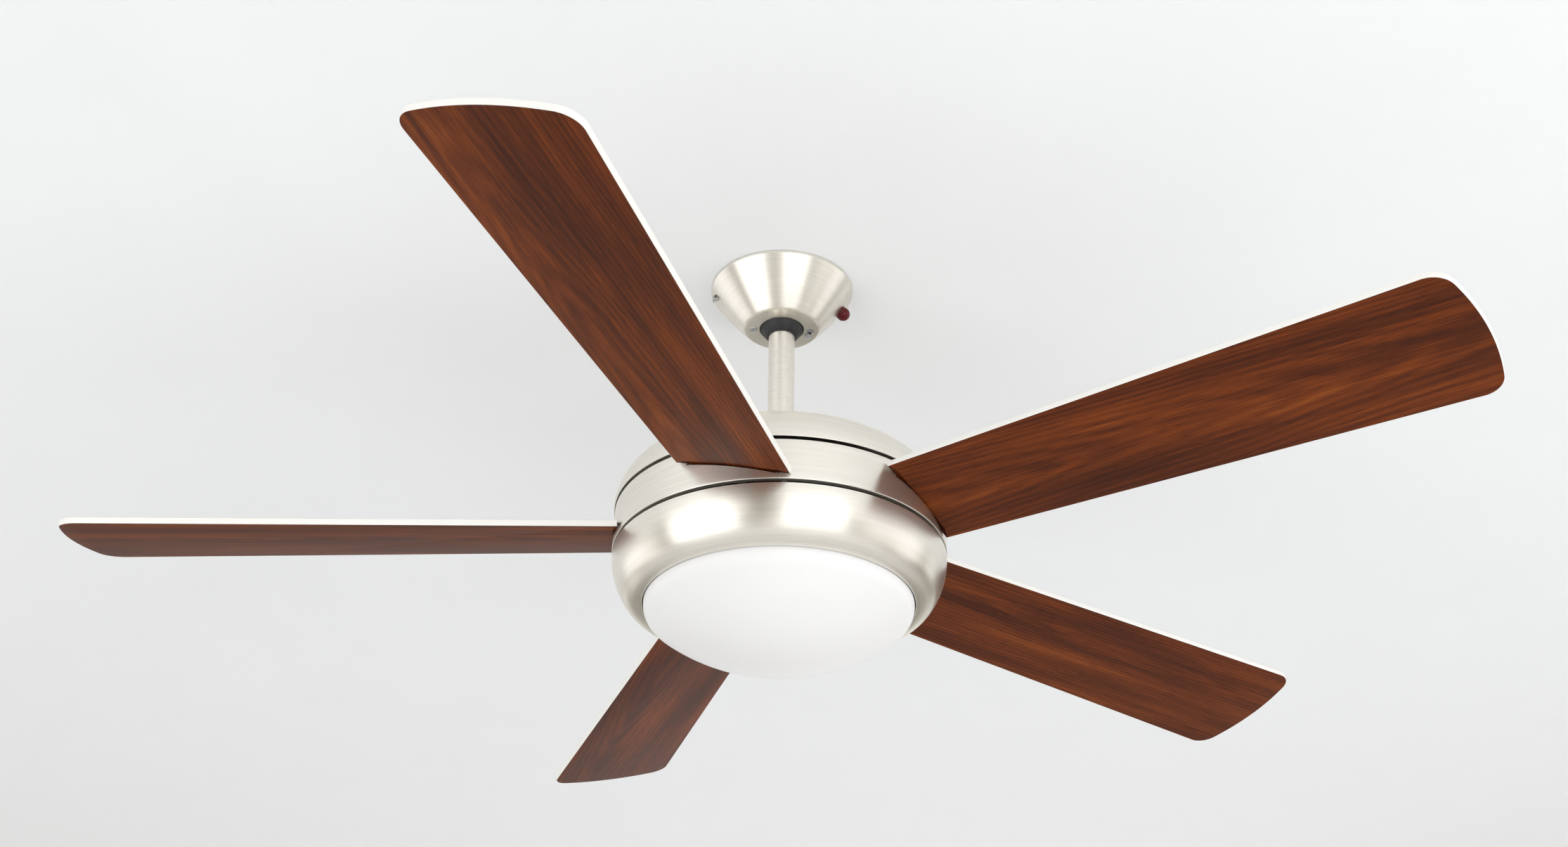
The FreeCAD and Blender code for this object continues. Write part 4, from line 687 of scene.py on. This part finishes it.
class FAN_OT_canopy_screws(bpy.types.Operator):
    """Builds the screws that hold the canopy"""

    bl_idname = "fan.canopy_screws"
    bl_label = "Canopy screws"
    bl_options = {"REGISTER", "UNDO"}

    def execute(self, context):
        scene = context.scene
        sizes = scene.fan_canopy
        low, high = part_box("canopy_ring_screws")
        screws = []
        for degrees in (PLAIN_SCREW, KEY_SCREW):
            spot = math.radians(degrees)
            place = (sizes.screw * math.cos(spot), sizes.screw * math.sin(spot), -sizes.foot)
            screws.append(whole_screw("ring_screw", place, (0, 0, -1), high[2] + sizes.foot))
        ring = merged("ring_screws", screws)
        dress(ring, "mount", "zinc_steel", finish_of("zinc_steel"), "canopy_ring_screws")
        low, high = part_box("canopy_side_screw")
        start = low[0] + HEAD_RISE
        side = whole_screw("side_screw", (start, 0, (low[2] + high[2]) / 2), (-1, 0, 0), high[0] - start)
        dress(side, "mount", "zinc_steel", finish_of("zinc_steel"), "canopy_side_screw")
        return {"FINISHED"}


class FAN_OT_window(bpy.types.Operator):
    """Builds the domed infra-red window"""

    bl_idname = "fan.window"
    bl_label = "Infra-red window"
    bl_options = {"REGISTER", "UNDO"}

    def execute(self, context):
        scene = context.scene
        sizes = scene.fan_canopy
        stem = sizes.lens * STEM_SHARE
        dome = arc((0, 0), sizes.lens, -math.degrees(math.acos(STEM_SHARE)), 90, 49)
        dome[-1, 0] = 0
        profile = np.concatenate([[[0, -0.012], [stem - 0.0003, -0.012], [stem, -0.0117]], dome])
        lens = moved(turned("window", profile, 96), window_place(sizes))
        dress(lens, "mount", "red_window", finish_of("red_window"), "receiver_lens")
        return {"FINISHED"}


def frame_centre(node, radius):
    """Centre of a ball at the outer, lower end of a node: its lowest and outermost corner less the radius."""
    low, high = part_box(node)
    reach = high[0] - radius
    return (reach, reach * math.tan(math.radians(WINDOW_AZIMUTH)), low[2] + radius)


class FAN_OT_hanger(bpy.types.Operator):
    """Builds the hanger ball and the downrod"""

    bl_idname = "fan.hanger"
    bl_label = "Ball and downrod"
    bl_options = {"REGISTER", "UNDO"}

    def execute(self, context):
        scene = context.scene
        sizes = scene.fan_canopy
        low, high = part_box("downrod")
        radius = 0.013
        rod = rounded([(radius, low[2], 0.0003), (radius, high[2], 0.0003), (radius - 0.002, high[2], 0.0003),
                       (radius - 0.002, low[2], 0.0003)])
        pipe = turned("downrod_tube", closer(rod, 0.01), 128)
        dress(pipe, "hanging", "brushed_nickel", finish_of("brushed_nickel"), "downrod")
        low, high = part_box("hanger_ball")
        bore = radius + 0.00005
        foot = math.degrees(math.asin((low[2] + sizes.ball_drop) / sizes.ball))
        crown = math.degrees(math.acos(bore / sizes.ball))
        skin = arc((0, -sizes.ball_drop), sizes.ball, foot, crown, 60)
        section = np.concatenate([[[bore, low[2]]], skin, [[bore, skin[-1][1] - 0.0002]]])
        ball = turned("hanger_ball_skin", section, 128)
        dress(ball, "hanging", "black_nylon", finish_of("black_nylon"), "hanger_ball")
        return {"FINISHED"}


class FAN_OT_top_housing(bpy.types.Operator):
    """Builds the domed top housing and the coupling cover"""

    bl_idname = "fan.top_housing"
    bl_label = "Top housing"
    bl_options = {"REGISTER", "UNDO"}

    def execute(self, context):
        scene = context.scene
        sizes = scene.fan_housing
        radius, wall = sizes.radius + 0.0005, sizes.wall
        crown, fall, run = 0.05, 0.006, 0.0645
        cone = sizes.dome_top - (radius - crown) * fall / run
        hole = 0.0195
        outer = rounded([
            (radius, sizes.dome_foot, 0.0005),
            (radius, cone, sizes.shoulder),
            (crown, sizes.dome_top, 0.02),
            (hole, sizes.dome_top, 0.0004),
            (hole, sizes.dome_top - wall, 0.0004),
            (crown, sizes.dome_top - wall, 0.02),
            (radius - wall, cone - wall * 0.9, sizes.shoulder - wall),
            (radius - wall, sizes.dome_foot, 0.0005),
        ], 20)
        dome = turned("top_housing_shell", closer(outer, 0.006), 320)
        dress(dome, "hanging", "brushed_nickel", finish_of("brushed_nickel"), "top_housing")
        low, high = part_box("coupling_cover")
        rod, cover = 0.0133, 0.030
        section = rounded([
            (rod, high[2], 0.0004),
            (rod, high[2] - wall, 0.0004),
            (cover - wall, high[2] - wall, 0.0148),
            (cover - wall, low[2], 0.0003),
            (cover, low[2], 0.0003),
            (cover, high[2], 0.016),
        ], 14)
        bell = turned("coupling_cover_shell", closer(section, 0.004), 160)
        dress(bell, "hanging", "brushed_nickel", finish_of("brushed_nickel"), "coupling_cover")
        return {"FINISHED"}


class FAN_OT_band(bpy.types.Operator):
    """Builds the turning band with its pitched blade slots"""

    bl_idname = "fan.band"
    bl_label = "Turning band"
    bl_options = {"REGISTER", "UNDO"}

    def execute(self, context):
        scene = context.scene
        sizes, blades = scene.fan_housing, scene.fan_blade
        top, foot = sizes.radius - 0.0005, sizes.radius + 0.0003
        wall = sizes.wall
        section = rounded([
            (foot, sizes.band_foot, 0.0007),
            (top, sizes.band_top, 0.0007),
            (top - 0.008, sizes.band_top, 0.0003),
            (top - 0.008, sizes.band_top - wall, 0.0003),
            (top - wall, sizes.band_top - wall, 0.0003),
            (foot - wall, sizes.band_foot + wall, 0.0003),
            (foot - 0.005, sizes.band_foot + wall, 0.0003),
            (foot - 0.005, sizes.band_foot, 0.0003),
        ], 6)
        shell = turned("band_shell", closer(section, 0.003), 360)
        cutters = []
        near, far, side_room, face_room = 0.126, 0.166, 0.0035, 0.0015
        half = blades.tongue + side_room
        for turn in range(blades.count):
            edge = rounded([(near, blades.offset - half, 0), (far, blades.offset - half, 0),
                            (far, blades.offset + half, 0), (near, blades.offset + half, 0)])
            slot = prism("band_slot", edge, -face_room, blades.thick + face_room)
            cutters.append(moved(slot, blade_matrix(turn)))
        cut_with(shell, cutters)
        dress(shell, "rotor", "brushed_nickel", finish_of("brushed_nickel"), "middle_band")
        return {"FINISHED"}


class FAN_OT_bowl(bpy.types.Operator):
    """Builds the lower bowl"""

    bl_idname = "fan.bowl"
    bl_label = "Lower bowl"
    bl_options = {"REGISTER", "UNDO"}

    def execute(self, context):
        scene = context.scene
        sizes = scene.fan_housing
        half = math.tan(sizes.turn / 2)
        small = (sizes.radius - sizes.mouth - sizes.bowl_depth * half) / (1 - half)
        big = small + (sizes.bowl_depth - small) / math.sin(sizes.turn)
        lean = math.degrees(sizes.turn)
        upper = (sizes.radius - big, sizes.bowl_top)
        lower = (sizes.mouth, sizes.bowl_top - sizes.bowl_depth + small)
        outer = np.concatenate([arc(upper, big, 0, -lean, 30), arc(lower, small, -lean, -90, 40)[1:]])
        inner = np.concatenate([arc(lower, small - sizes.wall, -90, -lean, 40),
                                arc(upper, big - sizes.wall, -lean, -1.1, 30)[1:]])
        lip_centre = (sizes.mouth, sizes.bowl_top - sizes.bowl_depth + sizes.wall / 2)
        lip = arc(lip_centre, sizes.wall / 2, 270, 90, 9)[1:-1]
        flange_inner = 0.118
        flange = np.array([[flange_inner, sizes.bowl_top - sizes.wall], [flange_inner, sizes.bowl_top]])
        bowl = turned("lower_bowl_shell", np.concatenate([outer, lip, inner, flange]), 320)
        dress(bowl, "hanging", "brushed_nickel", finish_of("brushed_nickel"), "lower_bowl")
        return {"FINISHED"}


class FAN_OT_glass(bpy.types.Operator):
    """Builds the opal glass"""

    bl_idname = "fan.glass"
    bl_label = "Opal glass"
    bl_options = {"REGISTER", "UNDO"}

    def execute(self, context):
        scene = context.scene
        sizes = scene.fan_glass
        middle = sizes.bottom + sizes.sphere
        corner_x = sizes.radius - sizes.turn
        corner_z = middle - math.sqrt((sizes.sphere - sizes.turn) ** 2 - corner_x ** 2)
        lean = math.degrees(math.atan2(corner_z - middle, corner_x))
        outer = np.concatenate([
            arc((0, middle), sizes.sphere, -90, lean, 60),
            arc((corner_x, corner_z), sizes.turn, lean, 0, 24)[1:],
            np.stack([np.full(6, sizes.radius), np.linspace(corner_z, sizes.top + 0.001, 7)[1:]], axis=1),
        ])
        lip = arc((sizes.radius - sizes.wall / 2, sizes.top - sizes.wall / 2), sizes.wall / 2, 0, 180, 12)
        inner = np.concatenate([
            arc((corner_x, corner_z), sizes.turn - sizes.wall, 0, lean, 20),
            arc((0, middle), sizes.sphere - sizes.wall, lean, -90, 60)[1:],
        ])
        section = np.concatenate([outer[:-1], lip, inner])
        section[0, 0] = section[-1, 0] = 0.0
        glass = turned("opal_glass_shell", section, 320, 60)
        dress(glass, "shade", "opal_glass", finish_of("opal_glass"), "glass_shade")
        return {"FINISHED"}


def blade_outline(sizes):
    """A blade's outline in its own frame: tongue, shoulders along the band, straight sides, rounded tip.
    Half the width is root + growth x; the shoulders are x = sqrt(r r - y y); the tip is one large arc."""
    def side(x, sign):
        return sizes.offset + sign * (sizes.root + sizes.growth * x)

    tip_rise = 0.0106
    tip_x = sizes.tip - tip_rise
    low_tip, high_tip = side(tip_x, 1), side(tip_x, -1)
    half = (low_tip - high_tip) / 2
    centre = (tip_x - math.sqrt(sizes.tip_arc ** 2 - half ** 2), (low_tip + high_tip) / 2)
    reach = math.degrees(math.asin(half / sizes.tip_arc))
    tip = arc(centre, sizes.tip_arc, -reach, reach, 61)
    shoulders = []
    for sign in (1, -1):
        start = side(sizes.shoulder - 0.01, sign)
        root = sizes.offset + sign * sizes.tongue
        across = np.linspace(start, root, 24)
        shoulders.append(np.stack([np.sqrt(sizes.shoulder ** 2 - across ** 2), across], axis=1))
    low, high = shoulders
    rough = np.concatenate([high[::-1], tip, low, [[sizes.start, sizes.offset + sizes.tongue],
                                                   [sizes.start, sizes.offset - sizes.tongue]]])
    corners = [len(high), len(high) + len(tip) - 1]
    return fillet_corners(rough, corners, sizes.corner)


def fillet_corners(points, corners, radius):
    """Rounds the given corners with arcs that touch both the straight side and the tip's curve.
    Each arc's centre is one radius inside the curve, where it is also nearest to one radius from the side."""
    keep = list(points)
    for corner in sorted(corners, reverse=True):
        inside = 1 if corner == corners[0] else -1
        here = points[corner]
        straight = points[corner - inside] - here
        straight /= np.linalg.norm(straight)
        normal = np.array([-straight[1], straight[0]])
        if normal @ (points[corner + inside * 12] - here) < 0:
            normal = -normal
        best = None
        for step in range(3, 28):
            place = points[corner + inside * step]
            curve = points[corner + inside * (step + 1)] - points[corner + inside * (step - 1)]
            curve /= np.linalg.norm(curve)
            square = np.array([-curve[1], curve[0]])
            if square @ (here - straight * -0.05 - place) < 0:
                square = -square
            centre = place + square * radius
            gap = abs((centre - here) @ normal - radius)
            if best is None or gap < best[0]:
                best = (gap, step, centre)
        gap, step, centre = best
        foot = here + straight * ((centre - here) @ straight)
        first, last = foot - centre, points[corner + inside * step] - centre
        angles = [math.atan2(v[1], v[0]) for v in (first, last)]
        sweep = (angles[1] - angles[0] + math.pi) % (2 * math.pi) - math.pi
        turn = angles[0] + sweep * np.linspace(0, 1, 20)
        bend = np.stack([centre[0] + radius * np.cos(turn), centre[1] + radius * np.sin(turn)], axis=1)
        if inside == 1:
            keep[corner:corner + step + 1] = list(bend)
        else:
            keep[corner - step:corner + 1] = list(bend[::-1])
    return np.array(keep)


# Each blade is cut from another part of the printed sheet: where its pattern's pith lies, along and across.
GRAIN_LAYER = 0.37
PITHS = ((0.9, 0.012), (-0.35, -0.031), (-0.62, 0.008), (0.5, -0.018), (-0.12, 0.03))


class FAN_OT_blades(bpy.types.Operator):
    """Builds the blades: walnut below, white on the edge and the top"""

    bl_idname = "fan.blades"
    bl_label = "Blades"
    bl_options = {"REGISTER", "UNDO"}

    def execute(self, context):
        scene = context.scene
        sizes = scene.fan_blade
        outline = closer(blade_outline(sizes), 0.01)
        along = np.roll(outline, -1, axis=0) - np.roll(outline, 1, axis=0)
        along /= np.linalg.norm(along, axis=1)[:, None]
        inward = np.stack([-along[:, 1], along[:, 0]], axis=1)
        edge = 0.0006
        rings = []
        for turn in np.linspace(0, 90, 5):
            step = edge * (1 - math.sin(math.radians(turn)))
            rings.append(np.column_stack([outline + inward * step,
                                          np.full(len(outline), edge * (1 - math.cos(math.radians(turn))))]))
        rings += [np.column_stack([ring[:, :2], sizes.thick - ring[:, 2]]) for ring in rings[::-1]]
        for turn in range(sizes.count):
            blade = loops(f"blade_{turn + 1}_board", rings)
            flat = np.empty(len(blade.data.vertices) * 3, np.float32)
            blade.data.vertices.foreach_get("co", flat)
            place = flat.reshape(-1, 3).copy()
            place[:, :2] -= np.array(PITHS[turn % len(PITHS)])
            place[:, 2] = turn * GRAIN_LAYER
            attribute(blade, "grain", place)
            moved(blade, blade_matrix(turn))
            dress(blade, "rotor", "walnut_blade", finish_of("walnut_blade"), f"blade_{turn + 1}")
            blade.data.materials.append(white_laminate())
            slots = np.ones(len(blade.data.polygons), np.int32)
            own_frame = blade_matrix(turn).inverted()
            for face in blade.data.polygons[-2:]:
                slots[face.index] = 0 if (own_frame @ face.center).z < sizes.thick / 2 else 1
            blade.data.polygons.foreach_set("material_index", slots)
        return {"FINISHED"}


class FAN_OT_inner_parts(bpy.types.Operator):
    """Gives every CAD piece that is carried over its finish"""

    bl_idname = "fan.inner_parts"
    bl_label = "Inner parts"
    bl_options = {"REGISTER", "UNDO"}

    def execute(self, context):
        slots = {entry["node"]: entry["material_slot"] for entry in frame["record"]["subparts"]}
        for node, thing in frame["nodes"].items():
            thing.data.materials.clear()
            thing.data.materials.append(finish_of(slots[node]))
            if slots[node] == "brushed_nickel" and not thing.hide_render:
                raise RuntimeError(f"{node} is shown without its brushing")
        return {"FINISHED"}


# ---------------------------------------------------------------- stage
def pale(name, text, one_sided=False):
    """Matt emulsion paint on the floor or ceiling. One-sided paint is clear from behind, so that the fan
    can be seen from above."""
    made = plain(name, "Matt emulsion, rolled", text, 0.85, mottle=0.01, scale=8, depth=0.00005)
    if one_sided:
        tree = made.node_tree
        shader = next(n for n in tree.nodes if n.type == "BSDF_PRINCIPLED")
        last = next(n for n in tree.nodes if n.type == "OUTPUT_MATERIAL")
        clear = add(tree, "ShaderNodeBsdfTransparent")
        back = add(tree, "ShaderNodeNewGeometry").outputs["Backfacing"]
        mix = add(tree, "ShaderNodeMixShader", {0: back})
        tree.links.new(shader.outputs[0], mix.inputs[1])
        tree.links.new(clear.outputs[0], mix.inputs[2])
        tree.links.new(mix.outputs[0], last.inputs["Surface"])
    return made


def sheet(name, half, height):
    """A flat square sheet that faces up."""
    corners = [(-half, -half), (half, -half), (half, half), (-half, half)]
    return make_object(name, np.array([(x, y, height) for x, y in corners]), [[0, 1, 2, 3]])


def ceiling_sheet(name, half, hole, height):
    """A flat square sheet that faces down, with the round opening of a ceiling box at its middle.
    Each spoke runs from the opening, r (cos a, sin a), straight out to the square's edge."""
    spokes = 64
    around = np.linspace(0, 2 * np.pi, spokes, endpoint=False)
    way = np.stack([np.cos(around), np.sin(around)], axis=1)
    edge = way / np.abs(way).max(axis=1, keepdims=True) * half
    points = np.column_stack([np.concatenate([way * hole, edge]), np.full(spokes * 2, height)])
    here = np.arange(spokes)
    there = (here + 1) % spokes
    return make_object(name, points, np.stack([here, there, there + spokes, here + spokes], axis=1).tolist())


def lamp(name, place, aim, size, power, text, mirrored=False):
    """A soft box that points at a spot. Only a large one shows in the metal, as a broad highlight."""
    light = bpy.data.lights.new(name, "AREA")
    light.shape = "RECTANGLE"
    light.size, light.size_y = size
    light.energy = power
    light.color = colour(text)[:3]
    thing = bpy.data.objects.new(name, light)
    bpy.context.collection.objects.link(thing)
    thing.location = place
    thing.rotation_euler = (Vector(aim) - Vector(place)).to_track_quat("-Z", "Y").to_euler()
    thing.visible_glossy = mirrored


class FAN_OT_stage(bpy.types.Operator):
    """Sets out the ceiling, the floor, the light and the camera"""

    bl_idname = "fan.stage"
    bl_label = "Stage"
    bl_options = {"REGISTER", "UNDO"}

    def execute(self, context):
        scene = context.scene
        ceiling = ceiling_sheet("ceiling", 6.0, 0.055, 0.0006)
        ceiling.data.materials.append(pale("ceiling paint", "#f0f2f4", True))
        floor = sheet("floor", 2.6, -2.45)
        floor.data.materials.append(pale("floor paint", "#dedddc"))
        middle = (0, 0, -0.2)
        lamp("soft_box_left", (-2.5, -1.8, -1.3), middle, (2.8, 2.2), 32, "#fcfdff", mirrored=True)
        lamp("soft_box_front", (1.2, -2.8, -1.2), middle, (2.4, 2.2), 28, "#fcfdff", mirrored=True)
        lamp("soft_box_side", (3.0, -0.8, -1.5), middle, (1.6, 1.6), 26, "#fcfcff")
        lamp("soft_box_back", (0.4, 2.8, -2.0), middle, (1.8, 1.4), 10, "#fefeff")
        world = bpy.data.worlds.new("studio")
        scene.world = world
        scene.view_settings.view_transform = "Standard"
        world.use_nodes = True
        tree = world.node_tree
        tree.nodes.clear()
        way = add(tree, "ShaderNodeTexCoord").outputs["Generated"]
        high = add(tree, "ShaderNodeSeparateXYZ", {"Vector": way}).outputs["Z"]
        place = spread(tree, high, 0.0, 1.0)
        place.node.inputs["From Min"].default_value = -1.0
        tone = ramp(tree, place, [(0.0, "#a39f9b"), (0.38, "#cbc9c7"), (0.5, "#eeeeee"), (0.75, "#ffffff")])
        room = noise(tree, way, 1.5, 1.0)
        patches = ramp(tree, room, [(0.38, "#46422c"), (0.47, "#b2b2aa"), (0.56, "#fcfdff")])
        blend = tree.nodes.new("ShaderNodeMix")
        blend.data_type = "RGBA"
        blend.blend_type = "MULTIPLY"
        blend.inputs[0].default_value = 0.8
        tree.links.new(tone, blend.inputs[6])
        tree.links.new(patches, blend.inputs[7])
        around = add(tree, "ShaderNodeBackground", {"Color": blend.outputs[2], "Strength": 2.1})
        seen = add(tree, "ShaderNodeBackground", {"Color": colour("#f4f4f3"), "Strength": 1.0})
        ray = add(tree, "ShaderNodeLightPath").outputs["Is Camera Ray"]
        mix = add(tree, "ShaderNodeMixShader", {0: ray})
        tree.links.new(around.outputs[0], mix.inputs[1])
        tree.links.new(seen.outputs[0], mix.inputs[2])
        add(tree, "ShaderNodeOutputWorld", {"Surface": mix.outputs[0]})
        set_camera(scene)
        return {"FINISHED"}


def set_camera(scene):
    """The camera stands below and in front of the fan and looks up at it."""
    yaw, tilt, roll = math.radians(0.117), math.radians(30.822), math.radians(0.5295)
    right = np.array([math.cos(yaw), -math.sin(yaw), 0])
    ahead = np.array([math.sin(yaw) * math.cos(tilt), math.cos(yaw) * math.cos(tilt), math.sin(tilt)])
    up = np.cross(right, ahead)
    across = math.cos(roll) * right + math.sin(roll) * up
    above = -math.sin(roll) * right + math.cos(roll) * up
    camera = bpy.data.cameras.new("camera")
    camera.sensor_width = 36
    camera.lens = 42.40
    camera.clip_start = 0.01
    thing = bpy.data.objects.new("camera", camera)
    bpy.context.collection.objects.link(thing)
    turn = np.eye(4)
    turn[:3, 0], turn[:3, 1], turn[:3, 2] = across, above, -ahead
    turn[:3, 3] = (0, -1.5470, -1.0792)
    thing.matrix_world = Matrix(turn.tolist())
    scene.camera = thing


# ---------------------------------------------------------------- add-on
OPERATORS = (
    FAN_OT_canopy, FAN_OT_canopy_screws, FAN_OT_window, FAN_OT_hanger, FAN_OT_top_housing, FAN_OT_band,
    FAN_OT_bowl, FAN_OT_glass, FAN_OT_blades, FAN_OT_inner_parts, FAN_OT_stage,
)


class FAN_PT_panel(bpy.types.Panel):
    """Sidebar panel of the fan"""

    bl_idname = "FAN_PT_panel"
    bl_label = "Ceiling fan"
    bl_space_type = "VIEW_3D"
    bl_region_type = "UI"
    bl_category = "Ceiling fan"

    def draw(self, context):
        for group in ("fan_canopy", "fan_housing", "fan_glass", "fan_blade"):
            sizes = getattr(context.scene, group)
            box = self.layout.box()
            for name in sizes.__annotations__:
                box.prop(sizes, name)
        for operator in OPERATORS:
            self.layout.operator(operator.bl_idname)


GROUPS = {"fan_canopy": FanCanopySizes, "fan_housing": FanHousingSizes, "fan_glass": FanGlassSizes,
          "fan_blade": FanBladeSizes}


def register():
    """Registers the add-on's classes and sizes."""
    for name, group in GROUPS.items():
        bpy.utils.register_class(group)
        setattr(bpy.types.Scene, name, PointerProperty(type=group))
    for operator in OPERATORS:
        bpy.utils.register_class(operator)
    bpy.utils.register_class(FAN_PT_panel)


def unregister():
    """Removes them again."""
    bpy.utils.unregister_class(FAN_PT_panel)
    for operator in reversed(OPERATORS):
        bpy.utils.unregister_class(operator)
    for name, group in GROUPS.items():
        delattr(bpy.types.Scene, name)
        bpy.utils.unregister_class(group)


def main():
    """Builds every piece."""
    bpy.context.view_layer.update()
    register()
    for operator in OPERATORS:
        group, name = operator.bl_idname.split(".")
        getattr(getattr(bpy.ops, group), name)()


if __name__ == "__main__":
    main()
